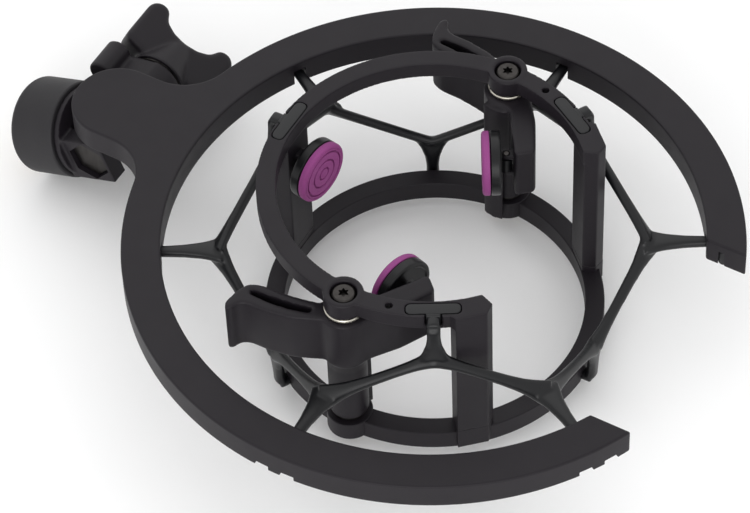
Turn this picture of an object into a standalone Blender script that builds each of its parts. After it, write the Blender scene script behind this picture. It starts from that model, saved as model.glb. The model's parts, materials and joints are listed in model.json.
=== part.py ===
"""Elastic shock mount for a studio microphone, with two sprung clamp levers and a stand adapter.

The microphone stands on the Z axis of the mount, in a small cage. An elastic web hangs the cage
in a large C-shaped ring, which a bolt and a wing knob clamp to a yoke with a threaded barrel.
Sizes are in metres. Shapes are laid out about the microphone's axis at the ring's mid-height,
and one empty moves the whole mount so that the world origin is the mouth of the stand thread.
"""

import math

import bmesh
import bpy
from mathutils import Matrix, Vector

MM = 0.001
GAP = 0.3 * MM  # running and seating gap between two pieces

# Outer ring
RING_R = 85.0 * MM
RING_BORE_R = 74.2 * MM
RING_THICK = 8.3 * MM
RING_GAP_HALF = 33.7 * MM
LUG_X = -102.0 * MM
LUG_R = 12.8 * MM
LUG_FILLET_R = 14.3 * MM
KNUCKLE_R = 6.8 * MM
KNUCKLE_HALF = 4.0 * MM

# Tilt pivot and stand adapter
PIVOT = Vector((-106.0 * MM, 0.0, -13.0 * MM))
ADAPTER_DROOP = math.radians(20.0)
BOLT_R = 3.9 * MM
BOLT_HOLE_R = 4.2 * MM
BARREL_LIFT = 1.3 * MM  # the barrel's axis runs this far above the bolt
BARREL_R = 13.9 * MM
BARREL_MOUTH = -25.5 * MM
BARREL_FRONT = -9.6 * MM
SOCKET_R = 7.6 * MM
EAR_INNER = 5.6 * MM
EAR_OUTER = 11.0 * MM
EAR_END = 6.5 * MM
EAR_HALF = 7.0 * MM
EAR_CORNER_R = 8.3 * MM
CHEEK_INNER = 14.3 * MM
CHEEK_OUTER = 25.0 * MM
BOLT_HEAD_R = 6.6 * MM  # to the corners of its hexagon

# Inner cage
CAGE_R = 47.0 * MM
CAGE_BORE_R = 41.7 * MM
CAGE_TOP = 26.8 * MM
CAGE_TOP_THICK = 5.0 * MM
CAGE_BOTTOM = -29.7 * MM
CAGE_BASE_THICK = 6.4 * MM
CAGE_OPEN_HALF = math.radians(43.0)
POST_ANGLES = (math.radians(47.0), math.radians(-47.0), math.radians(180.0))
END_POST_OUT = 48.2 * MM  # the two posts at the ends of the C reach further out
POST_R = (41.9 * MM, 47.3 * MM)
POST_HALF = 5.2 * MM
PLINTH = 2.0 * MM
BASE_BOSS_TOP = CAGE_BOTTOM + CAGE_BASE_THICK + 0.4 * MM

# Levers
LEVER_PIVOT = Vector((-1.2 * MM, -44.6 * MM, 0.0))
TOP_BOSS_R = 5.5 * MM
BASE_BOSS_R = 6.3 * MM
BOSS_DROP = 0.5 * MM
WASHER_THICK = 1.0 * MM
LEVER_BOTTOM = 2.4 * MM
HUB_R = 6.6 * MM
TUBE_R = 5.4 * MM
TUBE_BORE_R = 4.3 * MM
SCREW_R = 1.95 * MM
SCREW_HEAD_R = 3.3 * MM
SKIRT_R = 8.5 * MM
SKIRT_BORE_R = 6.8 * MM
SKIRT_FOOT = -27.0 * MM  # the skirt hangs past the base ring's boss, inside its bore
SKIRT_START = math.radians(62.0)
SKIRT_END = math.radians(115.0)

# Pads
PAD_R = 8.9 * MM
PAD_THICK = 2.1 * MM
CUP_THICK = 2.8 * MM
PAD_HEIGHT = 11.7 * MM
PAD_REACH = 8.6 * MM  # from the arm to the pad's face
PIN_OFFSET = 1.9 * MM  # from the arm to the swivel pin
PIN_R = 0.8 * MM
KNUCKLE_HEIGHT = 4.4 * MM
PAD_EAR_SPAN = 7.6 * MM
PAD_EAR_R = 1.2 * MM
ARM_FACE = Vector((9.9 * MM, -27.4 * MM, 0.0))
ARM_ANGLE = math.radians(56.6)
PAD_YAW = {"front": math.radians(18.0), "back": math.radians(-2.4), "rear": math.radians(-8.0)}

# Elastic web
OUTER_NODE_R = 59.2 * MM
INNER_NODE_R = 49.4 * MM
UPPER_NODE_Z = 13.0 * MM
LOWER_NODE_Z = -14.5 * MM
WEB_R = 1.4 * MM
CLIP_LIMB_R = 1.15 * MM
THROAT_HALF = 2.3 * MM
CLIP_HALF = 7.2 * MM
CLIP_R = 44.2 * MM
RING_CLIP_R = 79.0 * MM

COLOURS = {
    "satin_black": ((0.030, 0.029, 0.031, 1.0), 0.45, 0.0),
    "textured_black": ((0.035, 0.034, 0.036, 1.0), 0.65, 0.0),
    "elastomer": ((0.012, 0.012, 0.014, 1.0), 0.35, 0.0),
    "gloss_black": ((0.010, 0.010, 0.011, 1.0), 0.15, 0.0),
    "purple_rubber": ((0.30, 0.045, 0.27, 1.0), 0.6, 0.0),
    "dark_steel": ((0.12, 0.12, 0.12, 1.0), 0.35, 1.0),
    "bright_steel": ((0.70, 0.68, 0.62, 1.0), 0.25, 1.0),
    "brass": ((0.65, 0.48, 0.20, 1.0), 0.3, 1.0),
    "fibre": ((0.20, 0.09, 0.05, 1.0), 0.8, 0.0),
}


def clear_scene():
    for obj in list(bpy.data.objects):
        bpy.data.objects.remove(obj, do_unlink=True)


def make_collection(name):
    collection = bpy.data.collections.new(name)
    bpy.context.scene.collection.children.link(collection)
    return collection


def make_material(part_name, finish):
    colour, roughness, metallic = COLOURS[finish]
    material = bpy.data.materials.new(part_name + "_finish")
    material.use_nodes = True
    shader = material.node_tree.nodes["Principled BSDF"]
    shader.inputs["Base Color"].default_value = colour
    shader.inputs["Roughness"].default_value = roughness
    shader.inputs["Metallic"].default_value = metallic
    return material


clear_scene()
PARTS = make_collection("shock_mount")
CUTTERS = make_collection("shock_mount_cutters")


def axis_empty(name, location, parent, rotation=(0.0, 0.0, 0.0)):
    empty = bpy.data.objects.new(name, None)
    PARTS.objects.link(empty)
    empty.parent = parent
    empty.location = location
    empty.rotation_euler = rotation
    return empty


def adopt(obj, name, parent, finish=None):
    """Files a new object: a part with a finish, or a hidden guide for a Boolean without one."""
    obj.name = name
    obj.data.name = name
    obj.parent = parent
    if finish:
        PARTS.objects.link(obj)
        obj.data.materials.append(make_material(name, finish))
    else:
        CUTTERS.objects.link(obj)
        obj.hide_render = True
        obj.display_type = "WIRE"
    return obj


def smooth(obj, angle=35.0):
    obj.data.shade_smooth()
    obj.data.set_sharp_from_angle(angle=math.radians(angle))
    return obj


def cylinder(
    name, radius, low, high, parent, finish=None, centre=(0.0, 0.0), axis="Z", sides=32, end_radius=None,
):
    """A cylinder or cone from low to high along an axis, about centre on the other two."""
    turn = {
        "Z": Matrix(),
        "X": Matrix.Rotation(math.pi / 2, 4, "Y"),
        "Y": Matrix.Rotation(-math.pi / 2, 4, "X"),
    }
    middle = (low + high) / 2
    place = {
        "Z": Vector((centre[0], centre[1], middle)),
        "X": Vector((middle, centre[0], centre[1])),
        "Y": Vector((centre[0], middle, centre[1])),
    }
    bm = bmesh.new()
    bmesh.ops.create_cone(
        bm,
        cap_ends=True,
        segments=sides,
        radius1=radius,
        radius2=radius if end_radius is None else end_radius,
        depth=high - low,
        matrix=Matrix.Translation(place[axis]) @ turn[axis],
    )
    mesh = bpy.data.meshes.new(name)
    bm.to_mesh(mesh)
    bm.free()
    return smooth(adopt(bpy.data.objects.new(name, mesh), name, parent, finish))


def block(name, low, high, parent, finish=None, turn=0.0):
    """A box between two corners, turned about Z at the parent's origin."""
    bm = bmesh.new()
    size = [b - a for a, b in zip(low, high)]
    middle = [(a + b) / 2 for a, b in zip(low, high)]
    bmesh.ops.create_cube(bm, size=1.0)
    bmesh.ops.scale(bm, vec=size, verts=bm.verts)
    bmesh.ops.translate(bm, vec=middle, verts=bm.verts)
    bmesh.ops.rotate(bm, matrix=Matrix.Rotation(turn, 3, "Z"), verts=bm.verts)
    mesh = bpy.data.meshes.new(name)
    bm.to_mesh(mesh)
    bm.free()
    return adopt(bpy.data.objects.new(name, mesh), name, parent, finish)


def prism(name, outlines, low, high, parent, finish=None, across="Z"):
    """Flat closed outlines filled, then given the thickness from low to high.

    across names the axis of the thickness; with "Y" an outline's points are (x, z)."""
    curve = bpy.data.curves.new(name, "CURVE")
    curve.dimensions = "2D"
    curve.fill_mode = "BOTH"
    curve.extrude = (high - low) / 2
    for outline in outlines:
        spline = curve.splines.new("POLY")
        spline.points.add(len(outline) - 1)
        for point, (x, y) in zip(spline.points, outline):
            point.co = (x, y, 0.0, 1.0)
        spline.use_cyclic_u = True
    guide = bpy.data.objects.new(name + "_curve", curve)
    bpy.context.scene.collection.objects.link(guide)
    evaluated = guide.evaluated_get(bpy.context.evaluated_depsgraph_get())
    mesh = bpy.data.meshes.new_from_object(evaluated)
    bpy.data.objects.remove(guide)
    bm = bmesh.new()
    bm.from_mesh(mesh)
    bmesh.ops.remove_doubles(bm, verts=bm.verts, dist=0.01 * MM)
    bmesh.ops.dissolve_limit(bm, angle_limit=math.radians(0.5), verts=bm.verts, edges=bm.edges)
    bmesh.ops.translate(bm, vec=(0.0, 0.0, (low + high) / 2), verts=bm.verts)
    if across == "Y":
        bmesh.ops.rotate(bm, matrix=Matrix.Rotation(math.pi / 2, 3, "X"), verts=bm.verts)
        bmesh.ops.translate(bm, vec=(0.0, low + high, 0.0), verts=bm.verts)
    bmesh.ops.recalc_face_normals(bm, faces=bm.faces)
    bm.to_mesh(mesh)
    bm.free()
    return smooth(adopt(bpy.data.objects.new(name, mesh), name, parent, finish))


def turned(name, profile, parent, finish=None, sides=32, rotation=(0.0, 0.0, 0.0), location=(0.0, 0.0, 0.0)):
    """A closed profile of (radius, height) points, outer side downwards, turned about Z."""
    mesh = bpy.data.meshes.new(name)
    points = [(r, 0.0, z) for r, z in profile]
    edges = [(i, (i + 1) % len(points)) for i in range(len(points))]
    if profile[0][0] == 0.0 and profile[-1][0] == 0.0:
        edges.pop()
    mesh.from_pydata(points, edges, [])
    obj = adopt(bpy.data.objects.new(name, mesh), name, parent, finish)
    obj.location = location
    obj.rotation_euler = rotation
    screw = obj.modifiers.new("turn", "SCREW")
    screw.steps = sides
    screw.render_steps = sides
    screw.use_merge_vertices = True
    screw.merge_threshold = 0.01 * MM
    screw.use_smooth_shade = False
    return obj


def boolean(target, other, operation):
    modifier = target.modifiers.new(operation.lower(), "BOOLEAN")
    modifier.operation = operation
    modifier.solver = "EXACT"
    modifier.object = other
    return target


def cut(target, *others):
    for other in others:
        boolean(target, other, "DIFFERENCE")
    return target


def join(target, *others):
    for other in others:
        boolean(target, other, "UNION")
    return target


def bevel(obj, width, segments=1, angle=50.0):
    modifier = obj.modifiers.new("edges", "BEVEL")
    modifier.width = width
    modifier.segments = segments
    modifier.limit_method = "ANGLE"
    modifier.angle_limit = math.radians(angle)
    return obj


def arc(centre, radius, start, end, steps):
    """Points on an arc from start to end, in radians, both ends included."""
    return [
        (
            centre[0] + radius * math.cos(start + (end - start) * i / steps),
            centre[1] + radius * math.sin(start + (end - start) * i / steps),
        )
        for i in range(steps + 1)
    ]


def polar(radius, angle, height=0.0):
    return Vector((radius * math.cos(angle), radius * math.sin(angle), height))


def flipped(outline):
    return [(x, -y) for x, y in outline]


# ---------------------------------------------------------------- placement

BARREL_DIR = Vector((math.cos(ADAPTER_DROOP), 0.0, math.sin(ADAPTER_DROOP)))
BARREL_UP = Vector((-math.sin(ADAPTER_DROOP), 0.0, math.cos(ADAPTER_DROOP)))
MOUTH = PIVOT + BARREL_UP * BARREL_LIFT + BARREL_DIR * BARREL_MOUTH

MOUNT = axis_empty("mount_axis", -MOUTH, None)
TILT = axis_empty("tilt_axis", PIVOT, MOUNT, (0.0, -ADAPTER_DROOP, 0.0))
KNOB_AXIS = axis_empty("wing_knob_axis", PIVOT, MOUNT)
LEVER_AXES = {
    "front": axis_empty("front_lever_axis", LEVER_PIVOT, MOUNT),
    "back": axis_empty("back_lever_axis", Vector((LEVER_PIVOT.x, -LEVER_PIVOT.y, 0.0)), MOUNT),
}
SIDES = {"front": 1.0, "back": -1.0}


# ---------------------------------------------------------------- outer ring


def ring_outline():
    """The C ring and its neck lug as one outline."""
    fillet_y = LUG_R + LUG_FILLET_R
    fillet_x = -math.sqrt((RING_R + LUG_FILLET_R) ** 2 - fillet_y**2)
    touch = math.atan2(fillet_y, fillet_x)
    open_outer = math.asin(RING_GAP_HALF / RING_R)
    open_inner = math.asin(RING_GAP_HALF / RING_BORE_R)
    upper = arc((0.0, 0.0), RING_R, open_outer, touch, 34)
    upper += arc((fillet_x, fillet_y), LUG_FILLET_R, touch - math.pi, -math.pi / 2, 8)[1:]
    upper += arc((LUG_X, 0.0), LUG_R, math.pi / 2, math.pi, 9)
    lower = flipped(upper[:-1])[::-1]
    bore = arc((0.0, 0.0), RING_BORE_R, -open_inner, open_inner - 2 * math.pi, 64)
    return upper + lower + bore


def ring_pocket(angle, index):
    """Cutter for one web clip: a T slot open to the bore, with two windows in the outer wall."""
    top = 1.2 * MM
    floor = -RING_THICK
    stem = block(
        f"ring_stem_slot_{index}",
        (RING_BORE_R - 3 * MM, -THROAT_HALF, floor),
        (RING_CLIP_R, THROAT_HALF, top),
        MOUNT,
        turn=angle,
    )
    head = block(
        f"ring_head_slot_{index}",
        (RING_CLIP_R - 1.8 * MM, -CLIP_HALF + 0.5 * MM, floor),
        (RING_CLIP_R + 1.8 * MM, CLIP_HALF - 0.5 * MM, top),
        MOUNT,
        turn=angle,
    )
    return stem, head


def outer_ring():
    ring = prism("outer_ring", [ring_outline()], -RING_THICK / 2, RING_THICK / 2, MOUNT, "satin_black")
    bevel(ring, 0.6 * MM)
    web_plate = block(
        "knuckle_plate",
        (PIVOT.x - KNUCKLE_R, -KNUCKLE_HALF, PIVOT.z),
        (PIVOT.x + KNUCKLE_R, KNUCKLE_HALF, -RING_THICK / 2 + 1.0 * MM),
        MOUNT,
    )
    knuckle = cylinder(
        "knuckle_round",
        KNUCKLE_R,
        -KNUCKLE_HALF,
        KNUCKLE_HALF,
        MOUNT,
        centre=(PIVOT.x, PIVOT.z),
        axis="Y",
    )
    hole = cylinder(
        "knuckle_hole",
        BOLT_HOLE_R,
        -2 * KNUCKLE_HALF,
        2 * KNUCKLE_HALF,
        MOUNT,
        centre=(PIVOT.x, PIVOT.z),
        axis="Y",
    )
    join(ring, web_plate, knuckle)
    for index in range(6):
        angle = math.radians(30.0 + 60.0 * index)
        cut(ring, *ring_pocket(angle, index + 1))
    cut(ring, hole)
    return ring


# ---------------------------------------------------------------- stand adapter


def barrel_parts():
    """The rotating barrel, its threaded insert and the clip that keeps it on the yoke."""
    base = (0.0, 0.0, BARREL_LIFT)
    lie = (0.0, math.pi / 2, 0.0)  # the turning axis runs along the barrel
    wall = BARREL_R - 3.0 * MM
    edge = 1.6 * MM
    front = BARREL_FRONT
    mouth = BARREL_MOUTH
    floor = front - 3.0 * MM
    outer = [(BARREL_R - 0.5 * MM, front), (BARREL_R, front - 0.5 * MM)]
    outer += [
        (BARREL_R, mouth + edge), (BARREL_R - 0.45 * edge, mouth + 0.45 * edge), (BARREL_R - edge, mouth)
    ]
    inner = [(wall, mouth), (wall, floor), (7.3 * MM, floor), (7.3 * MM, front)]
    turned("stand_barrel", outer + inner, TILT, "textured_black", sides=48, rotation=lie, location=base)
    insert_r = wall - GAP
    insert = [
        (insert_r, mouth + 9.6 * MM),
        (insert_r, mouth + 1.0 * MM),
        (insert_r - 0.7 * MM, mouth + 0.3 * MM),
        (SOCKET_R + 0.8 * MM, mouth + 0.3 * MM),
        (SOCKET_R, mouth + 1.1 * MM),
        (SOCKET_R, mouth + 9.6 * MM),
    ]
    turned("thread_insert", insert, TILT, "brass", sides=36, rotation=lie, location=base)
    clip_z = floor - GAP
    clip = [
        (8.6 * MM, clip_z), (8.6 * MM, clip_z - 0.7 * MM), (6.3 * MM, clip_z - 0.7 * MM), (6.3 * MM, clip_z)
    ]
    ring = turned("barrel_clip", clip, TILT, "bright_steel", sides=36, rotation=lie, location=base)
    opening = block(
        "barrel_clip_opening",
        (clip_z - 2 * MM, -2.0 * MM, BARREL_LIFT + 3.0 * MM),
        (clip_z + 2 * MM, 2.0 * MM, BARREL_LIFT + 10.0 * MM),
        TILT,
    )
    cut(ring, opening)


def ear_outline(round_top):
    """Side view of one yoke ear, with its upper front corner rounded about the bolt."""
    back = -9.0 * MM
    outline = [(back, -EAR_HALF), (EAR_END - 0.8 * MM, -EAR_HALF), (EAR_END, -EAR_HALF + 0.8 * MM)]
    if round_top:
        low = math.acos(EAR_END / EAR_CORNER_R)
        high = math.asin(EAR_HALF / EAR_CORNER_R)
        outline += arc((0.0, 0.0), EAR_CORNER_R, low, high, 4)
    return outline + [(back, EAR_HALF)]


def cheek_outline():
    """Side view of the thick outer cheek: a low part round the bolt and a raised rounded back."""
    back = -12.6 * MM
    crest = 13.8 * MM
    step = -5.2 * MM
    round_r = 3.4 * MM
    outline = [(back, -EAR_HALF), (4.5 * MM, -EAR_HALF)]
    outline += arc((0.0, 0.0), EAR_CORNER_R, math.radians(-52.0), math.radians(62.0), 9)
    outline += [(step, 8.6 * MM)]
    outline += arc((step - round_r, crest - round_r), round_r, 0.0, math.pi / 2, 4)
    outline += arc((back + round_r, crest - round_r), round_r, math.pi / 2, math.pi, 4)
    return outline


def hexagon(radius):
    return [
        (radius * math.cos(a), radius * math.sin(a)) for a in (math.radians(30 + 60 * i) for i in range(6))
    ]


def yoke():
    base_r = 12.9 * MM
    body = cylinder(
        "yoke", base_r, -9.3 * MM, -7.4 * MM, TILT, "satin_black",
        centre=(0.0, BARREL_LIFT), axis="X", sides=48,
    )
    bevel(body, 0.4 * MM)
    spindle = cylinder(
        "yoke_spindle", 7.0 * MM, -15.0 * MM, -8.0 * MM, TILT, centre=(0.0, BARREL_LIFT), axis="X", sides=36
    )
    groove_low = -13.9 * MM
    groove_tool = cylinder(
        "yoke_groove", 10.0 * MM, groove_low, groove_low + 1.2 * MM, TILT, centre=(0.0, BARREL_LIFT), axis="X"
    )
    groove_core = cylinder(
        "yoke_groove_core", 6.0 * MM, groove_low - MM, groove_low + 3 * MM, TILT,
        centre=(0.0, BARREL_LIFT), axis="X",
    )
    cut(groove_tool, groove_core)
    near_ear = prism("near_ear", [ear_outline(True)], -EAR_OUTER, -EAR_INNER, TILT, across="Y")
    far_ear = prism("far_ear", [ear_outline(True)], EAR_INNER, CHEEK_OUTER - 6 * MM, TILT, across="Y")
    cheek = prism("cheek", [cheek_outline()], CHEEK_INNER, CHEEK_OUTER, TILT, across="Y")
    bevel(cheek, 0.8 * MM)
    bolt_hole = cylinder("yoke_bolt_hole", BOLT_HOLE_R, -30 * MM, 30 * MM, TILT, axis="Y")
    head_pocket = prism(
        "head_pocket",
        [hexagon(BOLT_HEAD_R + GAP)],
        -EAR_OUTER - MM,
        -EAR_OUTER + 3.4 * MM,
        TILT,
        across="Y",
    )
    join(body, spindle, near_ear, far_ear, cheek)
    cut(body, groove_tool, bolt_hole, head_pocket)


def washer(name, inner, outer, low, high, parent, finish, centre=(0.0, 0.0), axis="Z"):
    disc = cylinder(name, outer, low, high, parent, finish, centre=centre, axis=axis)
    hole = cylinder(name + "_hole", inner, low - MM, high + MM, parent, centre=centre, axis=axis, sides=24)
    return cut(disc, hole)


def clamp_parts():
    """The hexagon-headed clamp bolt, its washers, and the winged knob with its threaded insert."""
    seat = CHEEK_OUTER + GAP
    washer("clamp_washer", BOLT_HOLE_R, 7.6 * MM, seat, seat + 1.2 * MM, KNOB_AXIS, "dark_steel", axis="Y")
    knob_low = seat + 1.2 * MM + GAP
    head_out = -EAR_OUTER + 1.5 * MM
    bolt = prism(
        "clamp_bolt", [hexagon(BOLT_HEAD_R)], head_out, head_out + 1.6 * MM, TILT, "dark_steel", across="Y"
    )
    bevel(bolt, 0.3 * MM)
    shank = cylinder("bolt_shank", BOLT_R, head_out + MM, knob_low + 4.0 * MM, TILT, axis="Y", sides=28)
    join(bolt, shank)
    friction_low = KNUCKLE_HALF + GAP
    for name, side in (("friction_washer_near", -1.0), ("friction_washer_far", 1.0)):
        ends = sorted((side * friction_low, side * (EAR_INNER - GAP)))
        washer(name, BOLT_HOLE_R + GAP, KNUCKLE_R - GAP, ends[0], ends[1], KNOB_AXIS, "fibre", axis="Y")
    span = 15.0 * MM
    thick = 8.6 * MM
    tip = 44.8 * MM
    half = [(0.0, knob_low), (7.0 * MM, knob_low), (span - 2.6 * MM, knob_low + 0.8 * MM)]
    half += arc((span - 2.6 * MM, knob_low + 3.4 * MM), 2.6 * MM, -math.pi / 2 + 0.5, 0.0, 3)
    half += arc((span - 3.6 * MM, tip - 3.6 * MM), 3.6 * MM, 0.0, math.radians(130.0), 6)
    half += [(7.5 * MM, tip - 3.9 * MM), (4.0 * MM, tip - 5.6 * MM), (0.0, tip - 6.2 * MM)]
    mirrored = [(-x, y) for x, y in half[1:-1]][::-1]
    wing = prism("wing_knob", [half + mirrored], -thick / 2, thick / 2, KNOB_AXIS, "satin_black")
    wing.rotation_euler = (0.0, math.radians(27.0), 0.0)
    bevel(wing, 2.2 * MM, 2)
    hub_low = CHEEK_OUTER + 0.4 * MM
    hub_high = knob_low + 6.4 * MM
    hub = cylinder("wing_hub", 8.8 * MM, hub_low, hub_high, KNOB_AXIS, axis="Y", end_radius=6.8 * MM)
    washer_room = cylinder("washer_room", 7.9 * MM, hub_low - MM, knob_low, KNOB_AXIS, axis="Y")
    insert_r = 5.6 * MM
    depth = 4.4 * MM
    bore = cylinder(
        "wing_bore", insert_r + GAP, knob_low - MM, knob_low + depth + GAP, KNOB_AXIS, axis="Y", sides=28
    )
    join(wing, hub)
    cut(wing, washer_room, bore)
    washer(
        "knob_insert", BOLT_HOLE_R, insert_r, knob_low + GAP, knob_low + depth, KNOB_AXIS, "brass", axis="Y"
    )


# ---------------------------------------------------------------- inner cage


def pivot_at(side):
    return (LEVER_PIVOT.x, LEVER_PIVOT.y * SIDES[side])


def top_outline():
    end = CAGE_OPEN_HALF
    outer = arc((0.0, 0.0), CAGE_R, end, 2 * math.pi - end, 54)
    bore = arc((0.0, 0.0), CAGE_BORE_R, 2 * math.pi - end - 0.06, end + 0.06, 54)
    return outer + bore


def post_footprint(index):
    """Plan of a post along local X: the end posts are wider and come to a blunt point at the opening."""
    if index == 3:
        return [
            (POST_R[0], -POST_HALF), (POST_R[1], -POST_HALF), (POST_R[1], POST_HALF), (POST_R[0], POST_HALF)
        ]
    tip = -1.0 if index == 1 else 1.0
    outline = [
        (POST_R[0], 3.7 * MM),
        (POST_R[0] + 3.4 * MM, 5.4 * MM),
        (END_POST_OUT, 3.3 * MM),
        (END_POST_OUT, -POST_HALF),
        (POST_R[0], -POST_HALF),
    ]
    return [(x, y * tip) for x, y in outline]


def post_prism(name, index, low, high, edge, finish=None):
    """One post or plinth: its footprint turned to its place on the ring and raised."""
    turn = POST_ANGLES[index - 1]
    cos, sin = math.cos(turn), math.sin(turn)
    outline = [(x * cos - y * sin, x * sin + y * cos) for x, y in post_footprint(index)]
    return bevel(prism(name, [outline], low, high, MOUNT, finish), edge)


def cage_top():
    """The C-shaped upper ring with its screw bosses and three posts."""
    low = CAGE_TOP - CAGE_TOP_THICK
    top = prism("cage_top", [top_outline()], low, CAGE_TOP, MOUNT, "satin_black")
    bevel(top, 0.5 * MM)
    foot = CAGE_BOTTOM + CAGE_BASE_THICK + PLINTH + GAP
    for index in (1, 2, 3):
        join(top, post_prism(f"post_{index}", index, foot, CAGE_TOP - 0.15 * MM, 0.6 * MM))
    for side in SIDES:
        centre = pivot_at(side)
        boss = cylinder(f"top_boss_{side}", TOP_BOSS_R, low - BOSS_DROP, CAGE_TOP, MOUNT, centre=centre)
        bevel(boss, 0.4 * MM)
        join(top, boss)
    for side in SIDES:
        centre = pivot_at(side)
        head = cylinder(f"head_recess_{side}", SCREW_HEAD_R + GAP, CAGE_TOP - 3.0 * MM, CAGE_TOP + MM, MOUNT,
                        centre=centre, sides=24)
        shank = cylinder(
            f"top_hole_{side}", SCREW_R + GAP, low - 4 * MM, CAGE_TOP, MOUNT, centre=centre, sides=20
        )
        cut(top, head, shank)
    for index, angle in enumerate((60.0, 180.0, 300.0), 1):
        turn = math.radians(angle)
        recess = block(
            f"top_clip_recess_{index}",
            (CLIP_R - 1.8 * MM, -CLIP_HALF - GAP, CAGE_TOP - 3.7 * MM),
            (CLIP_R + 1.8 * MM, CLIP_HALF + GAP, CAGE_TOP + MM),
            MOUNT,
            turn=turn,
        )
        throat = block(
            f"top_clip_throat_{index}",
            (CLIP_R, -THROAT_HALF, low - MM),
            (POST_R[1] + MM, THROAT_HALF, CAGE_TOP + MM),
            MOUNT,
            turn=turn,
        )
        cut(top, recess, throat)
    for index, angle in enumerate((75.0, -75.0), 1):
        spot = polar(44.4 * MM, math.radians(angle))
        sight = cylinder(f"sight_hole_{index}", MM, low - MM, CAGE_TOP + MM, MOUNT, centre=spot.xy, sides=12)
        cut(top, sight)
    add_pad_ears(top, REAR_PAD_AXIS, "rear")
    for index, angle in enumerate(POST_ANGLES, 1):
        spot = polar(sum(POST_R) / 2, angle).xy
        pilot = cylinder(
            f"post_pilot_{index}", 1.5 * MM, foot - MM, foot + 8.6 * MM, MOUNT, centre=spot, sides=16
        )
        cut(top, pilot)
    return top


def cage_base():
    """The full lower ring, which the posts and the lever screws fasten to."""
    high = CAGE_BOTTOM + CAGE_BASE_THICK
    circle = arc((0.0, 0.0), CAGE_R, 0.0, 2 * math.pi, 60)[:-1]
    bore = arc((0.0, 0.0), CAGE_BORE_R, 0.0, 2 * math.pi, 60)[:-1]
    base = prism("cage_base", [circle, bore], CAGE_BOTTOM, high, MOUNT, "satin_black")
    bevel(base, 0.5 * MM)
    for index in (1, 2, 3):
        join(base, post_prism(f"plinth_{index}", index, CAGE_BOTTOM + 1.1 * MM, high + PLINTH, 0.5 * MM))
    for side in SIDES:
        boss = cylinder(
            f"base_boss_{side}", BASE_BOSS_R, CAGE_BOTTOM + 0.7 * MM, BASE_BOSS_TOP, MOUNT,
            centre=pivot_at(side),
        )
        bevel(boss, 0.4 * MM)
        join(base, boss)
    for side in SIDES:
        centre = pivot_at(side)
        hole = cylinder(
            f"base_hole_{side}", 3.2 * MM, CAGE_BOTTOM - MM, high + MM, MOUNT, centre=centre, sides=24
        )
        cut(base, hole)
    for index, angle in enumerate(POST_ANGLES, 1):
        spot = polar(sum(POST_R) / 2, angle).xy
        hole = cylinder(
            f"base_screw_hole_{index}", 1.5 * MM, CAGE_BOTTOM - MM, 0.0, MOUNT, centre=spot, sides=16
        )
        sink = cylinder(
            f"base_screw_sink_{index}", 2.35 * MM, CAGE_BOTTOM - MM, CAGE_BOTTOM + 2.6 * MM, MOUNT,
            centre=spot, sides=20,
        )
        cut(base, hole, sink)
    for index, angle in enumerate((0.0, 120.0, 240.0), 1):
        turn = math.radians(angle)
        recess = block(
            f"base_clip_recess_{index}",
            (CLIP_R - 1.8 * MM, -CLIP_HALF - GAP, CAGE_BOTTOM - MM),
            (CLIP_R + 1.8 * MM, CLIP_HALF + GAP, CAGE_BOTTOM + 3.7 * MM),
            MOUNT,
            turn=turn,
        )
        throat = block(
            f"base_clip_throat_{index}",
            (CLIP_R, -THROAT_HALF, CAGE_BOTTOM - MM),
            (CAGE_R + 2 * MM, THROAT_HALF, high + MM),
            MOUNT,
            turn=turn,
        )
        cut(base, recess, throat)
    return base


def post_screws():
    """Three screws that come up through the base into the posts."""
    for index, angle in enumerate(POST_ANGLES, 1):
        spot = polar(sum(POST_R) / 2, angle).xy
        seat = CAGE_BOTTOM + 2.3 * MM
        screw = cylinder(f"post_screw_{index}", 1.2 * MM, seat - MM, seat + 13.0 * MM, MOUNT, "dark_steel",
                         centre=spot, sides=16)
        head = cylinder(
            f"post_screw_head_{index}", 2.05 * MM, seat - 1.9 * MM, seat, MOUNT, centre=spot, sides=20
        )
        join(screw, head)


# ---------------------------------------------------------------- levers


def lever_outline(sign):
    """Plan of the handle, hub and jaw arm about the pivot; sign mirrors it for the other side."""
    edge = math.radians
    grip = [(-10.7, -9.1), (-17.7, -10.3), (-23.6, -10.5), (-25.6, -11.6), (-26.6, -14.2)]
    tab = [(-27.9, -14.6), (-28.9, -12.9), (-28.2, -8.0), (-26.6, -4.6), (-23.4, -3.3)]
    inside = [(-17.8, -3.1), (-12.1, -2.3), (-6.2, -1.0)]
    arm = [(4.3, 6.9), (13.0, 20.1), (14.0, 20.4), (17.4, 17.3), (17.5, 16.2), (12.6, 7.2), (7.6, 0.6)]
    scaled = [(x * MM, y * MM) for x, y in grip + tab + inside]
    hub_inside = arc((0.0, 0.0), HUB_R, edge(168.0), edge(74.0), 7)
    jaw = [(x * MM, y * MM) for x, y in arm]
    hub_outside = arc((0.0, 0.0), HUB_R, edge(-12.0), edge(-118.0), 8)
    outline = scaled + hub_inside + jaw + hub_outside
    return [(x, y * sign) for x, y in outline]


def slot_outline(sign):
    """The long hollow along the handle's top."""
    outer = [(-7.4, -5.4), (-13.0, -6.8), (-19.0, -7.5), (-24.6, -7.3)]
    inner = [(-24.9, -5.9), (-19.0, -5.4), (-13.0, -4.7), (-7.6, -3.6)]
    return [(x * MM, y * MM * sign) for x, y in outer + inner]


def skirt_outline(sign, outer, inner, inset=0.0):
    """A curved strip round the inner side of the hub."""
    start = SKIRT_START + inset
    end = SKIRT_END - inset
    outline = arc((0.0, 0.0), outer, start, end, 9) + arc((0.0, 0.0), inner, end, start, 9)
    return [(x, y * sign) for x, y in outline]


def lever_top():
    return CAGE_TOP - CAGE_TOP_THICK - BOSS_DROP - WASHER_THICK - 2 * GAP


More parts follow.
